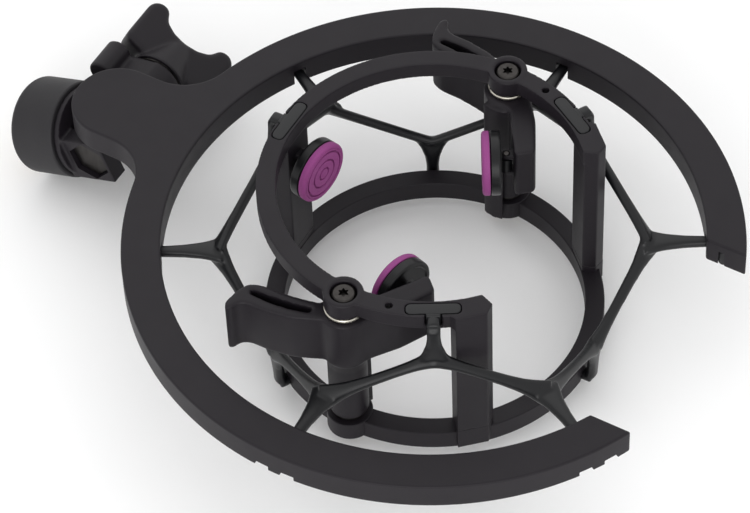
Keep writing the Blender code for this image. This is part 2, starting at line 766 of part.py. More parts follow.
def lever(side):
    sign = SIDES[side]
    axis = LEVER_AXES[side]
    top = lever_top()
    foot = BASE_BOSS_TOP + WASHER_THICK + 2 * GAP
    body = prism(f"lever_{side}", [lever_outline(sign)], LEVER_BOTTOM, top, axis, "satin_black")
    bevel(body, 0.5 * MM)
    shoulder = LEVER_BOTTOM + 0.9 * MM
    flare = [(0.0, shoulder), (HUB_R - 0.1 * MM, shoulder), (TUBE_R, LEVER_BOTTOM - 3.6 * MM)]
    tube = turned(f"lever_tube_{side}", flare + [(TUBE_R, foot), (0.0, foot)], axis, sides=36)
    root_outline = skirt_outline(sign, SKIRT_R - 0.6 * MM, HUB_R - 0.7 * MM, math.radians(2.0))
    root = prism(f"lever_skirt_root_{side}", [root_outline], LEVER_BOTTOM + 1.4 * MM, top - 1.2 * MM, axis)
    skirt = prism(
        f"lever_skirt_{side}", [skirt_outline(sign, SKIRT_R, SKIRT_BORE_R)], SKIRT_FOOT, top - 0.9 * MM, axis
    )
    join(body, tube, root, skirt)
    spring_room = cylinder(f"spring_room_{side}", TUBE_BORE_R, foot - MM, top - 3.8 * MM, axis, sides=28)
    hole = cylinder(f"lever_hole_{side}", SCREW_R + GAP, foot, top + MM, axis, sides=20)
    hollow = prism(f"handle_hollow_{side}", [slot_outline(sign)], LEVER_BOTTOM + 3.0 * MM, top + MM, axis)
    cut(body, spring_room, hole, hollow)
    add_pad_ears(body, PAD_AXES[side], side)
    return body


def pivot_parts(side):
    """The long shouldered screw, its base insert, two washers and the torsion spring."""
    axis = LEVER_AXES[side]
    top = lever_top()
    head_seat = CAGE_TOP - 3.0 * MM + GAP
    screw = cylinder(
        f"pivot_screw_{side}", SCREW_R, CAGE_BOTTOM + MM, head_seat + MM, axis, "dark_steel", sides=20
    )
    head = cylinder(f"pivot_screw_head_{side}", SCREW_HEAD_R, head_seat, head_seat + 2.2 * MM, axis, sides=28)
    socket = prism(
        f"pivot_screw_socket_{side}", [lobed_socket()], head_seat + 0.8 * MM, head_seat + 4.0 * MM, axis
    )
    join(screw, head)
    cut(screw, socket)
    washer(
        f"upper_washer_{side}", SCREW_R + GAP, 5.4 * MM, top + GAP, top + GAP + WASHER_THICK, axis,
        "bright_steel",
    )
    washer(
        f"lower_washer_{side}",
        SCREW_R + GAP,
        4.7 * MM,
        BASE_BOSS_TOP + GAP,
        BASE_BOSS_TOP + GAP + WASHER_THICK,
        axis,
        "dark_steel",
    )
    washer(
        f"base_insert_{side}",
        SCREW_R + GAP,
        3.2 * MM - GAP,
        CAGE_BOTTOM + 0.5 * MM,
        BASE_BOSS_TOP - GAP,
        axis,
        "brass",
    )
    torsion_spring(side)


def lobed_socket():
    """A six-lobed driver socket."""
    lobes = 6
    steps = 36
    return [
        (
            (1.15 + 0.25 * math.cos(lobes * a)) * MM * math.cos(a),
            (1.15 + 0.25 * math.cos(lobes * a)) * MM * math.sin(a),
        )
        for a in (2 * math.pi * i / steps for i in range(steps))
    ]


def torsion_spring(side):
    """A close coil inside the hub tube, with its free end run along the bore."""
    turns = 7
    per_turn = 10
    wire = 0.45 * MM
    coil_r = 3.2 * MM
    low = BASE_BOSS_TOP + WASHER_THICK + 2 * GAP + 2.0 * MM
    pitch = 4.6 * MM
    curve = bpy.data.curves.new(f"spring_{side}", "CURVE")
    curve.dimensions = "3D"
    curve.bevel_depth = wire
    curve.bevel_resolution = 1
    curve.use_fill_caps = True
    spline = curve.splines.new("POLY")
    count = turns * per_turn
    spline.points.add(count)
    for i, point in enumerate(spline.points):
        angle = 2 * math.pi * i / per_turn * SIDES[side]
        point.co = (coil_r * math.cos(angle), coil_r * math.sin(angle), low + pitch * i / per_turn, 1.0)
    guide = bpy.data.objects.new(f"spring_{side}_curve", curve)
    bpy.context.scene.collection.objects.link(guide)
    mesh = bpy.data.meshes.new_from_object(guide.evaluated_get(bpy.context.evaluated_depsgraph_get()))
    bpy.data.objects.remove(guide)
    bm = bmesh.new()
    bm.from_mesh(mesh)
    bmesh.ops.remove_doubles(bm, verts=bm.verts, dist=0.01 * MM)
    bmesh.ops.recalc_face_normals(bm, faces=bm.faces)
    bm.to_mesh(mesh)
    bm.free()
    mesh.materials.clear()
    spring = bpy.data.objects.new(f"spring_{side}", mesh)
    smooth(adopt(spring, f"torsion_spring_{side}", LEVER_AXES[side], "dark_steel"))


# ---------------------------------------------------------------- clamp pads


def pad_axis(name, face, facing, yaw):
    """An empty on a pad's swivel pin: local +X is the way the pad faces."""
    out = Vector((math.cos(facing), math.sin(facing), 0.0))
    pin = Vector((face[0], face[1], PAD_HEIGHT)) + out * PIN_OFFSET
    frame = axis_empty(f"{name}_pad_frame", pin, MOUNT, (0.0, 0.0, facing))
    swivel = axis_empty(f"{name}_pad_axis", (0.0, 0.0, 0.0), frame, (0.0, 0.0, yaw))
    return {"frame": frame, "swivel": swivel}


NORMAL_FRONT = ARM_ANGLE + math.pi / 2
PAD_AXES = {
    "front": pad_axis("front", ARM_FACE.xy, NORMAL_FRONT, PAD_YAW["front"]),
    "back": pad_axis("back", (ARM_FACE.x, -ARM_FACE.y), -NORMAL_FRONT, PAD_YAW["back"]),
}
REAR_PAD_AXIS = pad_axis("rear", (-POST_R[0], 0.0), 0.0, PAD_YAW["rear"])


def add_pad_ears(holder, axes, name):
    """Two small ears on an arm or post, with the hole for the swivel pin."""
    frame = axes["frame"]
    half = PAD_EAR_SPAN / 2
    slot = (KNUCKLE_HEIGHT / 2 + GAP, half)
    for label, sign in (("upper", 1.0), ("lower", -1.0)):
        ends = sorted((sign * slot[0], sign * slot[1]))
        ear = block(
            f"{name}_{label}_ear", (-PIN_OFFSET - MM, -PAD_EAR_R, ends[0]), (0.0, PAD_EAR_R, ends[1]), frame
        )
        tip = cylinder(f"{name}_{label}_ear_tip", PAD_EAR_R, ends[0], ends[1], frame, sides=18)
        join(holder, ear, tip)
    pin_hole = cylinder(f"{name}_pin_hole", PIN_R + 0.25 * MM, -half - MM, half + MM, frame, sides=16)
    cut(holder, pin_hole)


def pad_set(side, axes):
    """One rubber pad, its swivelling cup and the pin through the cup's knuckle."""
    swivel = axes["swivel"]
    face = PAD_REACH - PIN_OFFSET
    lie = (0.0, math.pi / 2, 0.0)
    cup_back = face - PAD_THICK - GAP - CUP_THICK
    cup_front = face - PAD_THICK - GAP
    rim = 0.6 * MM
    cup_profile = [
        (0.0, cup_front),
        (PAD_R, cup_front),
        (PAD_R, cup_back + rim),
        (PAD_R - rim, cup_back),
        (0.0, cup_back),
    ]
    cup = turned(f"pad_cup_{side}", cup_profile, swivel, "gloss_black", sides=32, rotation=lie)
    neck = block(
        f"pad_neck_{side}",
        (0.0, -1.1 * MM, -KNUCKLE_HEIGHT / 2),
        (cup_back + MM, 1.1 * MM, KNUCKLE_HEIGHT / 2),
        swivel,
    )
    knuckle = cylinder(
        f"pad_knuckle_{side}", 1.6 * MM, -KNUCKLE_HEIGHT / 2, KNUCKLE_HEIGHT / 2, swivel, sides=20
    )
    hole = cylinder(f"pad_hole_{side}", PIN_R + 0.25 * MM, -5 * MM, 5 * MM, swivel, sides=16)
    join(cup, neck, knuckle)
    cut(cup, hole)
    round_r = 0.9 * MM
    pad_profile = [(0.0, face), (PAD_R - round_r, face)]
    pad_profile += [
        (PAD_R - round_r + round_r * math.sin(a), face - round_r + round_r * math.cos(a))
        for a in (math.radians(30.0), math.radians(60.0), math.radians(90.0))
    ]
    pad_profile += [(PAD_R, cup_front + GAP), (0.0, cup_front + GAP)]
    turned(f"clamp_pad_{side}", pad_profile, swivel, "purple_rubber", sides=32, rotation=lie)
    half = PAD_EAR_SPAN / 2
    cylinder(f"pad_pin_{side}", PIN_R, -half, half, swivel, "dark_steel", sides=14)


# ---------------------------------------------------------------- elastic web


def suspension_web():
    """One moulded web: a zigzag loop between ring and cage, with a stem and T clip at each node."""
    points = []
    edges = []
    slim = set()

    def add(point, previous=None):
        points.append(tuple(point))
        if previous is not None:
            edges.append((previous, len(points) - 1))
        return len(points) - 1

    def add_clip(node, radius, angle, height, first, foot_z):
        stem = add(polar(first, angle, foot_z), node)
        heart = add(polar(radius, angle, height), stem)
        side = Vector((-math.sin(angle), math.cos(angle), 0.0)) * (CLIP_HALF - WEB_R - GAP)
        centre = polar(radius, angle, height)
        slim.update((stem, heart, add(centre + side, heart), add(centre - side, heart)))

    loop = []
    for index in range(12):
        angle = math.radians(30.0 * index)
        if index % 2:
            node = add(polar(OUTER_NODE_R, angle))
            add_clip(node, RING_CLIP_R, angle, -1.0 * MM, RING_BORE_R, -0.4 * MM)
        else:
            upper = index in (2, 6, 10)
            node = add(polar(INNER_NODE_R, angle, UPPER_NODE_Z if upper else LOWER_NODE_Z))
            bend = CAGE_TOP - 4.2 * MM if upper else CAGE_BOTTOM + 4.6 * MM
            clip_z = CAGE_TOP - WEB_R - 0.1 * MM if upper else CAGE_BOTTOM + WEB_R + 0.1 * MM
            add_clip(node, CLIP_R, angle, clip_z, INNER_NODE_R, bend)
        loop.append(node)
    edges.extend((loop[i], loop[(i + 1) % 12]) for i in range(12))
    mesh = bpy.data.meshes.new("suspension_web")
    mesh.from_pydata(points, edges, [])
    web = adopt(bpy.data.objects.new("suspension_web", mesh), "suspension_web", MOUNT, "elastomer")
    skin = web.modifiers.new("limbs", "SKIN")
    skin.use_smooth_shade = True
    for index, vertex in enumerate(mesh.skin_vertices[0].data):
        limb = CLIP_LIMB_R if index in slim else WEB_R
        vertex.radius = (limb, limb)
    mesh.skin_vertices[0].data[0].use_root = True


outer_ring()
barrel_parts()
yoke()
clamp_parts()
cage_top()
cage_base()
post_screws()
for lever_side in SIDES:
    lever(lever_side)
    pivot_parts(lever_side)
    pad_set(lever_side, PAD_AXES[lever_side])
pad_set("rear", REAR_PAD_AXIS)
suspension_web()
bpy.context.view_layer.update()
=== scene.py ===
import json
import math

import bmesh
import bpy
from mathutils import Matrix, Vector


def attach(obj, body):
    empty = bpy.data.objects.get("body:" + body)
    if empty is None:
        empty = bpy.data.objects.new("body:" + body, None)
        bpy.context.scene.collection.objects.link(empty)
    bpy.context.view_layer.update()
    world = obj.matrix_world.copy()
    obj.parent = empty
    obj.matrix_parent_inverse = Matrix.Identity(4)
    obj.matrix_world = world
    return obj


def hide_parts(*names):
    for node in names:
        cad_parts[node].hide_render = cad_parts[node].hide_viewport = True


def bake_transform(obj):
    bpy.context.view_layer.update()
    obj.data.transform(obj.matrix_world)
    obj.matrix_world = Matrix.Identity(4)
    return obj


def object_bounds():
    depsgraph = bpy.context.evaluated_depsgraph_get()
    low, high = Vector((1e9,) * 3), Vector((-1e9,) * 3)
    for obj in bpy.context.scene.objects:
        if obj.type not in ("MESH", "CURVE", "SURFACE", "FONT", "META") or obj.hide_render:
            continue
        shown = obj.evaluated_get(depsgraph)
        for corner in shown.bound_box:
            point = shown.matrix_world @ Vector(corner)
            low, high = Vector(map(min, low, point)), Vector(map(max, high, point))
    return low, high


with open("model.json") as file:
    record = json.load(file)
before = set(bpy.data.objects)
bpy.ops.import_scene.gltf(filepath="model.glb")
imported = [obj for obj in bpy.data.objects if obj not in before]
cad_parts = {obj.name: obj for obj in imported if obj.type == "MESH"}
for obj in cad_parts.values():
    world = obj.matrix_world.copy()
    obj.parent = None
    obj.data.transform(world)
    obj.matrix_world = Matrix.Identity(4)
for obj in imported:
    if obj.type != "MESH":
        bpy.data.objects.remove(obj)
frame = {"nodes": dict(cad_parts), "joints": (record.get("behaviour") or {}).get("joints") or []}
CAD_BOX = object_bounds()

MM = 0.001
PI = math.pi

# The microphone's axis at the outer ring's mid-height. Every shape below is drawn around it.
JOINTS = {joint["name"]: joint for joint in frame["joints"]}
LEVER_PIVOT = Vector((-1.2, -44.6, 0.0)) * MM
ORIGIN = Vector(JOINTS["front_lever_swing"]["pos_m"]) - LEVER_PIVOT
PIVOT = Vector(JOINTS["ring_tilt"]["pos_m"]) - ORIGIN
DROOP = math.radians(20.0)  # of the barrel below the ring's plane
GAP = 0.3 * MM  # between two pieces that fit together

# Outer ring
RING_R = 85.0 * MM
RING_BORE_R = 74.2 * MM
RING_HALF = 4.15 * MM
RING_GAP_HALF = 33.7 * MM
LUG_X = -102.0 * MM
LUG_R = 12.8 * MM
LUG_FILLET_R = 14.3 * MM
KNUCKLE_R = 6.8 * MM
CLIP_RING_R = 79.0 * MM
RING_SLOT_HALF = 1.9 * MM
RING_SLOT_TOP = 1.2 * MM
RING_SLOT_LONG = 6.6 * MM
RING_SLOT_DEEP = 1.7 * MM

# Inner cage
CAGE_R = 47.0 * MM
CAGE_BORE_R = 41.7 * MM
CAGE_TOP = 26.8 * MM
CAGE_TOP_LOW = 21.8 * MM
CAGE_BOTTOM = -29.7 * MM
CAGE_BASE_TOP = -23.3 * MM
POST_ANGLES = (47.0, -47.0, 180.0)
POST_IN = 41.9 * MM
POST_OUT = 47.3 * MM
END_POST_OUT = 48.2 * MM
POST_HALF = 5.2 * MM
CLIP_CAGE_R = 44.2 * MM
CAGE_SLOT_LONG = 7.4 * MM
CAGE_SLOT_DEEP = 1.85 * MM
CAGE_SLOT_DROP = 3.7 * MM
THROAT_HALF = 2.2 * MM
UPPER_CLIPS = (60.0, 180.0, 300.0)
LOWER_CLIPS = (0.0, 120.0, 240.0)
SMALL_HOLE_R = 44.4 * MM
SMALL_HOLES = (75.0, -75.0)
POST_SCREW_HOLE_R = 1.5 * MM
TOP_BOSS_R = 5.4 * MM
BASE_BOSS_R = 6.3 * MM
BOSS_LOW = 21.3 * MM
SCREW_RECESS_R = 3.6 * MM
BASE_BOSS_TOP = -22.9 * MM
PLINTH_TOP = -21.3 * MM

# Levers
LEVER_TOP = 19.7 * MM
LEVER_LOW = 2.4 * MM
TUBE_FOOT = -21.3 * MM
HUB_R = 6.6 * MM
TUBE_R = 5.4 * MM
TUBE_BORE_R = 4.3 * MM
SKIRT_R = 8.5 * MM
SKIRT_BORE_R = 6.8 * MM
SKIRT_FOOT = -27.0 * MM
SKIRT_START = math.radians(62.0)
SKIRT_FOOT_START = math.radians(72.0)
SKIRT_END = math.radians(115.0)

# Pads
PAD_R = 8.9 * MM
PAD_Z = 11.7 * MM
FACE_FROM_PIN = 6.7 * MM
RUBBER_THICK = 2.1 * MM
CUP_THICK = 2.8 * MM
GROOVE_RADII = (1.8 * MM, 4.3 * MM, 6.9 * MM)
GROOVE_DEPTH = 0.6 * MM
SIDES = {"front": 1.0, "back": -1.0}

# Adapter
BARREL_LIFT = 1.3 * MM
BARREL_R = 13.9 * MM
BARREL_MOUTH = -25.5 * MM
BARREL_FRONT = -9.6 * MM
BOLT_R = 3.9 * MM
BOLT_HOLE_R = 4.2 * MM
BOLT_HEAD_R = 6.2 * MM
KNOB_LOW = 26.8 * MM
KNOB_TIP = 44.8 * MM
KNOB_HALF_SPAN = 15.0 * MM
KNOB_TURN = math.radians(27.0)
EAR_HALF = 7.0 * MM
EAR_CORNER_R = 8.3 * MM
THREAD_PITCH = 0.94 * MM

# Web
OUTER_NODE_R = 59.2 * MM
INNER_NODE_R = 49.9 * MM
OUTER_NODE_Z = -1.0 * MM
UPPER_NODE_Z = 13.0 * MM
LOWER_NODE_Z = -14.5 * MM
STEM_HALF = 1.9 * MM
LIMB_HALF_THICK = 1.35 * MM
LIMB_LEAN = 0.9  # how far a limb's flat side looks up, against outwards
FLATNESS = 0.75  # 1 gives an elliptical limb, less a flatter one
FIRST_CUT = 0.16  # where an arm parts from its two hubs, as shares of its length
LAST_CUT = 0.84

# Camera, measured from ORIGIN
CAMERA_PLACE = Vector((329.41, -557.72, 775.26)) * MM
CAMERA_TURN = (39.687, 1.654, 29.990)
CAMERA_LENS = 177.93


# ---------------------------------------------------------------- shape tools


def link(mesh, name="work"):
    obj = bpy.data.objects.new(name, mesh)
    bpy.context.scene.collection.objects.link(obj)
    return obj


def settle(obj):
    """Applies an object's modifiers to its mesh."""
    graph = bpy.context.evaluated_depsgraph_get()
    graph.update()
    mesh = bpy.data.meshes.new_from_object(obj.evaluated_get(graph))
    obj.modifiers.clear()
    old = obj.data
    obj.data = mesh
    bpy.data.meshes.remove(old)
    return obj


def from_bmesh(bm):
    mesh = bpy.data.meshes.new("work")
    bm.to_mesh(mesh)
    bm.free()
    return link(mesh)


def bevelled(obj, width, segments=3, angle=32.0):
    if width:
        modifier = obj.modifiers.new("edges", "BEVEL")
        modifier.width = width
        modifier.segments = segments
        modifier.limit_method = "ANGLE"
        modifier.angle_limit = math.radians(angle)
        modifier.profile = 0.6
        settle(obj)
    return obj


def cylinder(radius, low, high, centre=(0.0, 0.0), axis="Z", sides=64, edge=0.0, end_radius=None):
    turn = {
        "Z": Matrix(),
        "X": Matrix.Rotation(PI / 2, 4, "Y"),
        "Y": Matrix.Rotation(-PI / 2, 4, "X"),
    }[axis]
    middle = (low + high) / 2
    place = {
        "Z": (centre[0], centre[1], middle),
        "X": (middle, centre[0], centre[1]),
        "Y": (centre[0], middle, centre[1]),
    }[axis]
    bm = bmesh.new()
    bmesh.ops.create_cone(
        bm,
        cap_ends=True,
        segments=sides,
        radius1=radius,
        radius2=radius if end_radius is None else end_radius,
        depth=high - low,
        matrix=Matrix.Translation(place) @ turn,
    )
    return bevelled(from_bmesh(bm), edge)


def block(low, high, turn=0.0, edge=0.0):
    """A box between two corners, turned about Z."""
    bm = bmesh.new()
    bmesh.ops.create_cube(bm, size=1.0)
    bmesh.ops.scale(bm, vec=[b - a for a, b in zip(low, high)], verts=bm.verts)
    bmesh.ops.translate(bm, vec=[(a + b) / 2 for a, b in zip(low, high)], verts=bm.verts)
    bmesh.ops.rotate(bm, matrix=Matrix.Rotation(turn, 3, "Z"), verts=bm.verts)
    return bevelled(from_bmesh(bm), edge)


def prism(outlines, low, high, across="Z", edge=0.0, segments=3):
    """Flat closed outlines with a thickness; with across Y an outline's points are (x, z)."""
    curve = bpy.data.curves.new("work", "CURVE")
    curve.dimensions = "2D"
    curve.fill_mode = "BOTH"
    curve.extrude = (high - low) / 2
    for outline in outlines:
        spline = curve.splines.new("POLY")
        spline.points.add(len(outline) - 1)
        for point, (x, y) in zip(spline.points, outline):
            point.co = (x, y, 0.0, 1.0)
        spline.use_cyclic_u = True
    guide = bpy.data.objects.new("guide", curve)
    bpy.context.scene.collection.objects.link(guide)
    mesh = bpy.data.meshes.new_from_object(guide.evaluated_get(bpy.context.evaluated_depsgraph_get()))
    bpy.data.objects.remove(guide)
    mesh.materials.clear()
    bm = bmesh.new()
    bm.from_mesh(mesh)
    bpy.data.meshes.remove(mesh)
    bmesh.ops.remove_doubles(bm, verts=bm.verts, dist=0.005 * MM)
    bmesh.ops.dissolve_limit(bm, angle_limit=math.radians(0.2), verts=bm.verts, edges=bm.edges)
    bmesh.ops.translate(bm, vec=(0.0, 0.0, (low + high) / 2), verts=bm.verts)
    if across == "Y":
        bmesh.ops.rotate(bm, matrix=Matrix.Rotation(PI / 2, 3, "X"), verts=bm.verts)
        bmesh.ops.translate(bm, vec=(0.0, low + high, 0.0), verts=bm.verts)
    bmesh.ops.recalc_face_normals(bm, faces=bm.faces)
    return bevelled(from_bmesh(bm), edge, segments)


def lathe(profile, sides=96, matrix=None):
    """A closed profile of (radius, height) points turned about Z, outer side downwards."""
    points = [(r, 0.0, z) for r, z in profile]
    edges = [(i, (i + 1) % len(points)) for i in range(len(points))]
    if profile[0][0] == 0.0 and profile[-1][0] == 0.0:
        edges.pop()
    mesh = bpy.data.meshes.new("work")
    mesh.from_pydata(points, edges, [])
    obj = link(mesh)
    screw = obj.modifiers.new("turn", "SCREW")
    screw.steps = sides
    screw.render_steps = sides
    screw.use_merge_vertices = True
    screw.merge_threshold = 0.005 * MM
    settle(obj)
    if matrix is not None:
        obj.data.transform(matrix)
    return obj


def combine(target, operation, others):
    for other in others:
        modifier = target.modifiers.new("combine", "BOOLEAN")
        modifier.operation = operation
        modifier.solver = "EXACT"
        modifier.object = other
    settle(target)
    for other in others:
        bpy.data.objects.remove(other)
    return target


def union(target, *others):
    return combine(target, "UNION", others)


def minus(target, *others):
    return combine(target, "DIFFERENCE", others)


def melt(obj, voxel, smoothing, keep=1.0):
    """Remeshes joined shapes into one skin and relaxes it, which rounds edges as a mould does."""
    remesh = obj.modifiers.new("skin", "REMESH")
    remesh.mode = "VOXEL"
    remesh.voxel_size = voxel
    remesh.use_smooth_shade = True
    relax = obj.modifiers.new("relax", "SMOOTH")
    relax.factor = 0.5
    relax.iterations = smoothing
    settle(obj)
    if keep < 1.0:
        thin = obj.modifiers.new("thin", "DECIMATE")
        thin.ratio = keep
        settle(obj)
    return obj


def arc(centre, radius, start, end, steps):
    span = end - start
    angles = [start + span * i / steps for i in range(steps + 1)]
    return [(centre[0] + radius * math.cos(a), centre[1] + radius * math.sin(a)) for a in angles]


def rectangle(half_long, half_deep):
    low = [(-half_long, -half_deep), (half_long, -half_deep)]
    return low + [(half_long, half_deep), (-half_long, half_deep)]


def polar(radius, angle, height=0.0):
    return Vector((radius * math.cos(angle), radius * math.sin(angle), height))


def flipped(outline):
    return [(x, -y) for x, y in outline]


def in_mm(points, sign=1.0):
    return [(x * MM, y * MM * sign) for x, y in points]


def rounded(points, radius, steps=6):
    """Rounds every corner of an outline to about a radius."""
    result = []
    count = len(points)
    for i in range(count):
        before, here, after = (Vector(points[(i + k) % count]) for k in (-1, 0, 1))
        to_before = before - here
        to_after = after - here
        reach = min(radius, to_before.length * 0.45, to_after.length * 0.45)
        start = here + to_before.normalized() * reach
        end = here + to_after.normalized() * reach
        for k in range(steps + 1):
            t = k / steps
            result.append(tuple(start * (1 - t) ** 2 + here * 2 * t * (1 - t) + end * t * t))
    return result


def moved(obj, matrix):
    obj.data.transform(matrix)
    return obj


# ---------------------------------------------------------------- materials


class Nodes:
    """A small builder for one material's node tree."""

    def __init__(self, name, colour, roughness, metallic=0.0):
        self.material = bpy.data.materials.new(name)
        self.material.use_nodes = True
        self.tree = self.material.node_tree
        self.shader = self.tree.nodes["Principled BSDF"]
        self.shader.inputs["Base Color"].default_value = (*colour, 1.0)
        self.shader.inputs["Roughness"].default_value = roughness
        self.shader.inputs["Metallic"].default_value = metallic
        self.coords = self.tree.nodes.new("ShaderNodeTexCoord").outputs["Object"]

    def wire(self, source, target):
        self.tree.links.new(source, target)

    def noise(self, scale, detail=3.0, roughness=0.55, stretch=None):
        source = self.coords
        if stretch:
            mapping = self.tree.nodes.new("ShaderNodeMapping")
            mapping.inputs["Scale"].default_value = stretch
            self.wire(source, mapping.inputs["Vector"])
            source = mapping.outputs["Vector"]
        node = self.tree.nodes.new("ShaderNodeTexNoise")
        node.inputs["Scale"].default_value = scale
        node.inputs["Detail"].default_value = detail
        node.inputs["Roughness"].default_value = roughness
        self.wire(source, node.inputs["Vector"])
        return node.outputs["Fac"]

    def spread(self, value, low, high, source_low=0.3, source_high=0.7):
        node = self.tree.nodes.new("ShaderNodeMapRange")
        node.inputs["From Min"].default_value = source_low
        node.inputs["From Max"].default_value = source_high
        node.inputs["To Min"].default_value = low
        node.inputs["To Max"].default_value = high
        self.wire(value, node.inputs["Value"])
        return node.outputs["Result"]

    def blend(self, factor, first, second):
        node = self.tree.nodes.new("ShaderNodeMix")
        node.data_type = "RGBA"
        self.wire(factor, node.inputs[0])
        for socket, colour in ((node.inputs[6], first), (node.inputs[7], second)):
            if hasattr(colour, "links"):
                self.wire(colour, socket)
            else:
                socket.default_value = (*colour, 1.0)
        return node.outputs[2]

    def bump(self, heights):
        """Chains several (height, strength, distance) bumps."""
        normal = None
        for height, strength, distance in heights:
            node = self.tree.nodes.new("ShaderNodeBump")
            node.inputs["Strength"].default_value = strength
            node.inputs["Distance"].default_value = distance
            self.wire(height, node.inputs["Height"])
            if normal:
                self.wire(normal, node.inputs["Normal"])
            normal = node.outputs["Normal"]
        self.wire(normal, self.shader.inputs["Normal"])


def plastic(name, dark, light, roughness, grain, depth, shine=0.5):
    """Moulded plastic: slow shade changes and a fine grain."""
    nodes = Nodes(name, dark, roughness)
    patches = nodes.spread(nodes.noise(55.0, 4.0), 0.0, 1.0)
    fine = nodes.noise(grain, 2.0, 0.6)
    colour = nodes.blend(patches, dark, light)
    speckle = nodes.spread(fine, 0.0, 0.3, 0.35, 0.75)
    colour = nodes.blend(speckle, colour, tuple(c * 1.35 for c in light))
    nodes.wire(colour, nodes.shader.inputs["Base Color"])
    handled = nodes.spread(nodes.noise(160.0, 3.0), roughness - 0.02, roughness + 0.03)
    nodes.wire(handled, nodes.shader.inputs["Roughness"])
    nodes.bump([(fine, 0.35, depth), (nodes.noise(260.0, 2.0), 0.08, 0.06 * MM)])
    nodes.shader.inputs["Specular IOR Level"].default_value = shine
    return nodes.material


def metal(name, colour, shade, roughness, stretch):
    """Turned or rolled metal with fine streaks and a few darker stains."""
    nodes = Nodes(name, colour, roughness, 1.0)
    streaks = nodes.noise(900.0, 3.0, 0.6, stretch)
    stains = nodes.spread(nodes.noise(220.0, 4.0), 0.0, 0.6, 0.45, 0.75)
    tint = nodes.blend(nodes.spread(streaks, 0.0, 1.0), colour, tuple(0.8 * c for c in colour))
    nodes.wire(nodes.blend(stains, tint, shade), nodes.shader.inputs["Base Color"])
    nodes.wire(nodes.spread(streaks, roughness - 0.06, roughness + 0.12), nodes.shader.inputs["Roughness"])
    nodes.bump([(streaks, 0.2, 0.03 * MM)])
    return nodes.material


SATIN = plastic(
    "satin_black_plastic", (0.0085, 0.0066, 0.0092), (0.010, 0.008, 0.0108), 0.48, 2300.0, 0.04 * MM, 0.24
)
SANDED = plastic(
    "sanded_black_plastic", (0.012, 0.011, 0.013), (0.014, 0.013, 0.015), 0.58, 1500.0, 0.11 * MM, 0.34
)
WEB_SKIN = plastic(
    "web_elastomer", (0.0036, 0.0037, 0.0046), (0.0046, 0.0048, 0.0059), 0.33, 1700.0, 0.015 * MM, 0.34
)
GLOSS = plastic(
    "gloss_black_plastic", (0.004, 0.004, 0.0045), (0.005, 0.005, 0.006), 0.3, 900.0, 0.004 * MM, 0.28
)
PURPLE = plastic("purple_rubber", (0.225, 0.041, 0.175), (0.245, 0.046, 0.19), 0.62, 2600.0, 0.05 * MM, 0.3)
FIBRE = plastic("washer_fibre", (0.20, 0.09, 0.05), (0.30, 0.15, 0.09), 0.8, 1200.0, 0.08 * MM)
DARK_STEEL = metal("black_oxide_steel", (0.055, 0.051, 0.049), (0.03, 0.028, 0.027), 0.36, (1.0, 1.0, 0.1))
BRIGHT_STEEL = metal("zinc_plated_steel", (0.62, 0.59, 0.52), (0.36, 0.33, 0.28), 0.27, (1.0, 1.0, 0.08))
BRASS = metal("turned_brass", (0.60, 0.42, 0.16), (0.33, 0.21, 0.08), 0.3, (1.0, 1.0, 6.0))


# ---------------------------------------------------------------- filing pieces


def file_piece(obj, name, body, material, slot, *nodes, angle=32.0, weighted=True):
    """Names a finished shape, moves it to the frame, gives it its material, hangs it on what it rides on and
    hides the CAD nodes it replaces.
    """
    obj.name = name
    obj.data.name = name
    obj.data.transform(Matrix.Translation(ORIGIN))
    obj.data.materials.clear()
    obj.data.materials.append(material)
    obj.data.shade_smooth()
    obj.data.set_sharp_from_angle(angle=math.radians(angle))
    if weighted:
        normals = obj.modifiers.new("normals", "WEIGHTED_NORMAL")
        normals.keep_sharp = True
        normals.weight = 80
    if body:
        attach(obj, body)
    if nodes:
        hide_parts(*nodes)
    return obj


def carry(node, material):
    """Gives a CAD node that stays its finish."""
    obj = frame["nodes"][node]
    obj.data.materials.clear()
    obj.data.materials.append(material)
    return obj


# ---------------------------------------------------------------- outer ring


def ring_outline():
    fillet_y = LUG_R + LUG_FILLET_R
    fillet_x = -math.sqrt((RING_R + LUG_FILLET_R) ** 2 - fillet_y**2)
    touch = math.atan2(fillet_y, fillet_x)
    open_outer = math.asin(RING_GAP_HALF / RING_R)
    open_inner = math.asin(RING_GAP_HALF / RING_BORE_R)
    upper = arc((0.0, 0.0), RING_R, open_outer, touch, 110)
    upper += arc((fillet_x, fillet_y), LUG_FILLET_R, touch - PI, -PI / 2, 20)[1:]
    upper += arc((LUG_X, 0.0), LUG_R, PI / 2, PI, 24)
    lower = flipped(upper[:-1])[::-1]
    bore = arc((0.0, 0.0), RING_BORE_R, -open_inner, open_inner - 2 * PI, 220)
    return upper + lower + bore


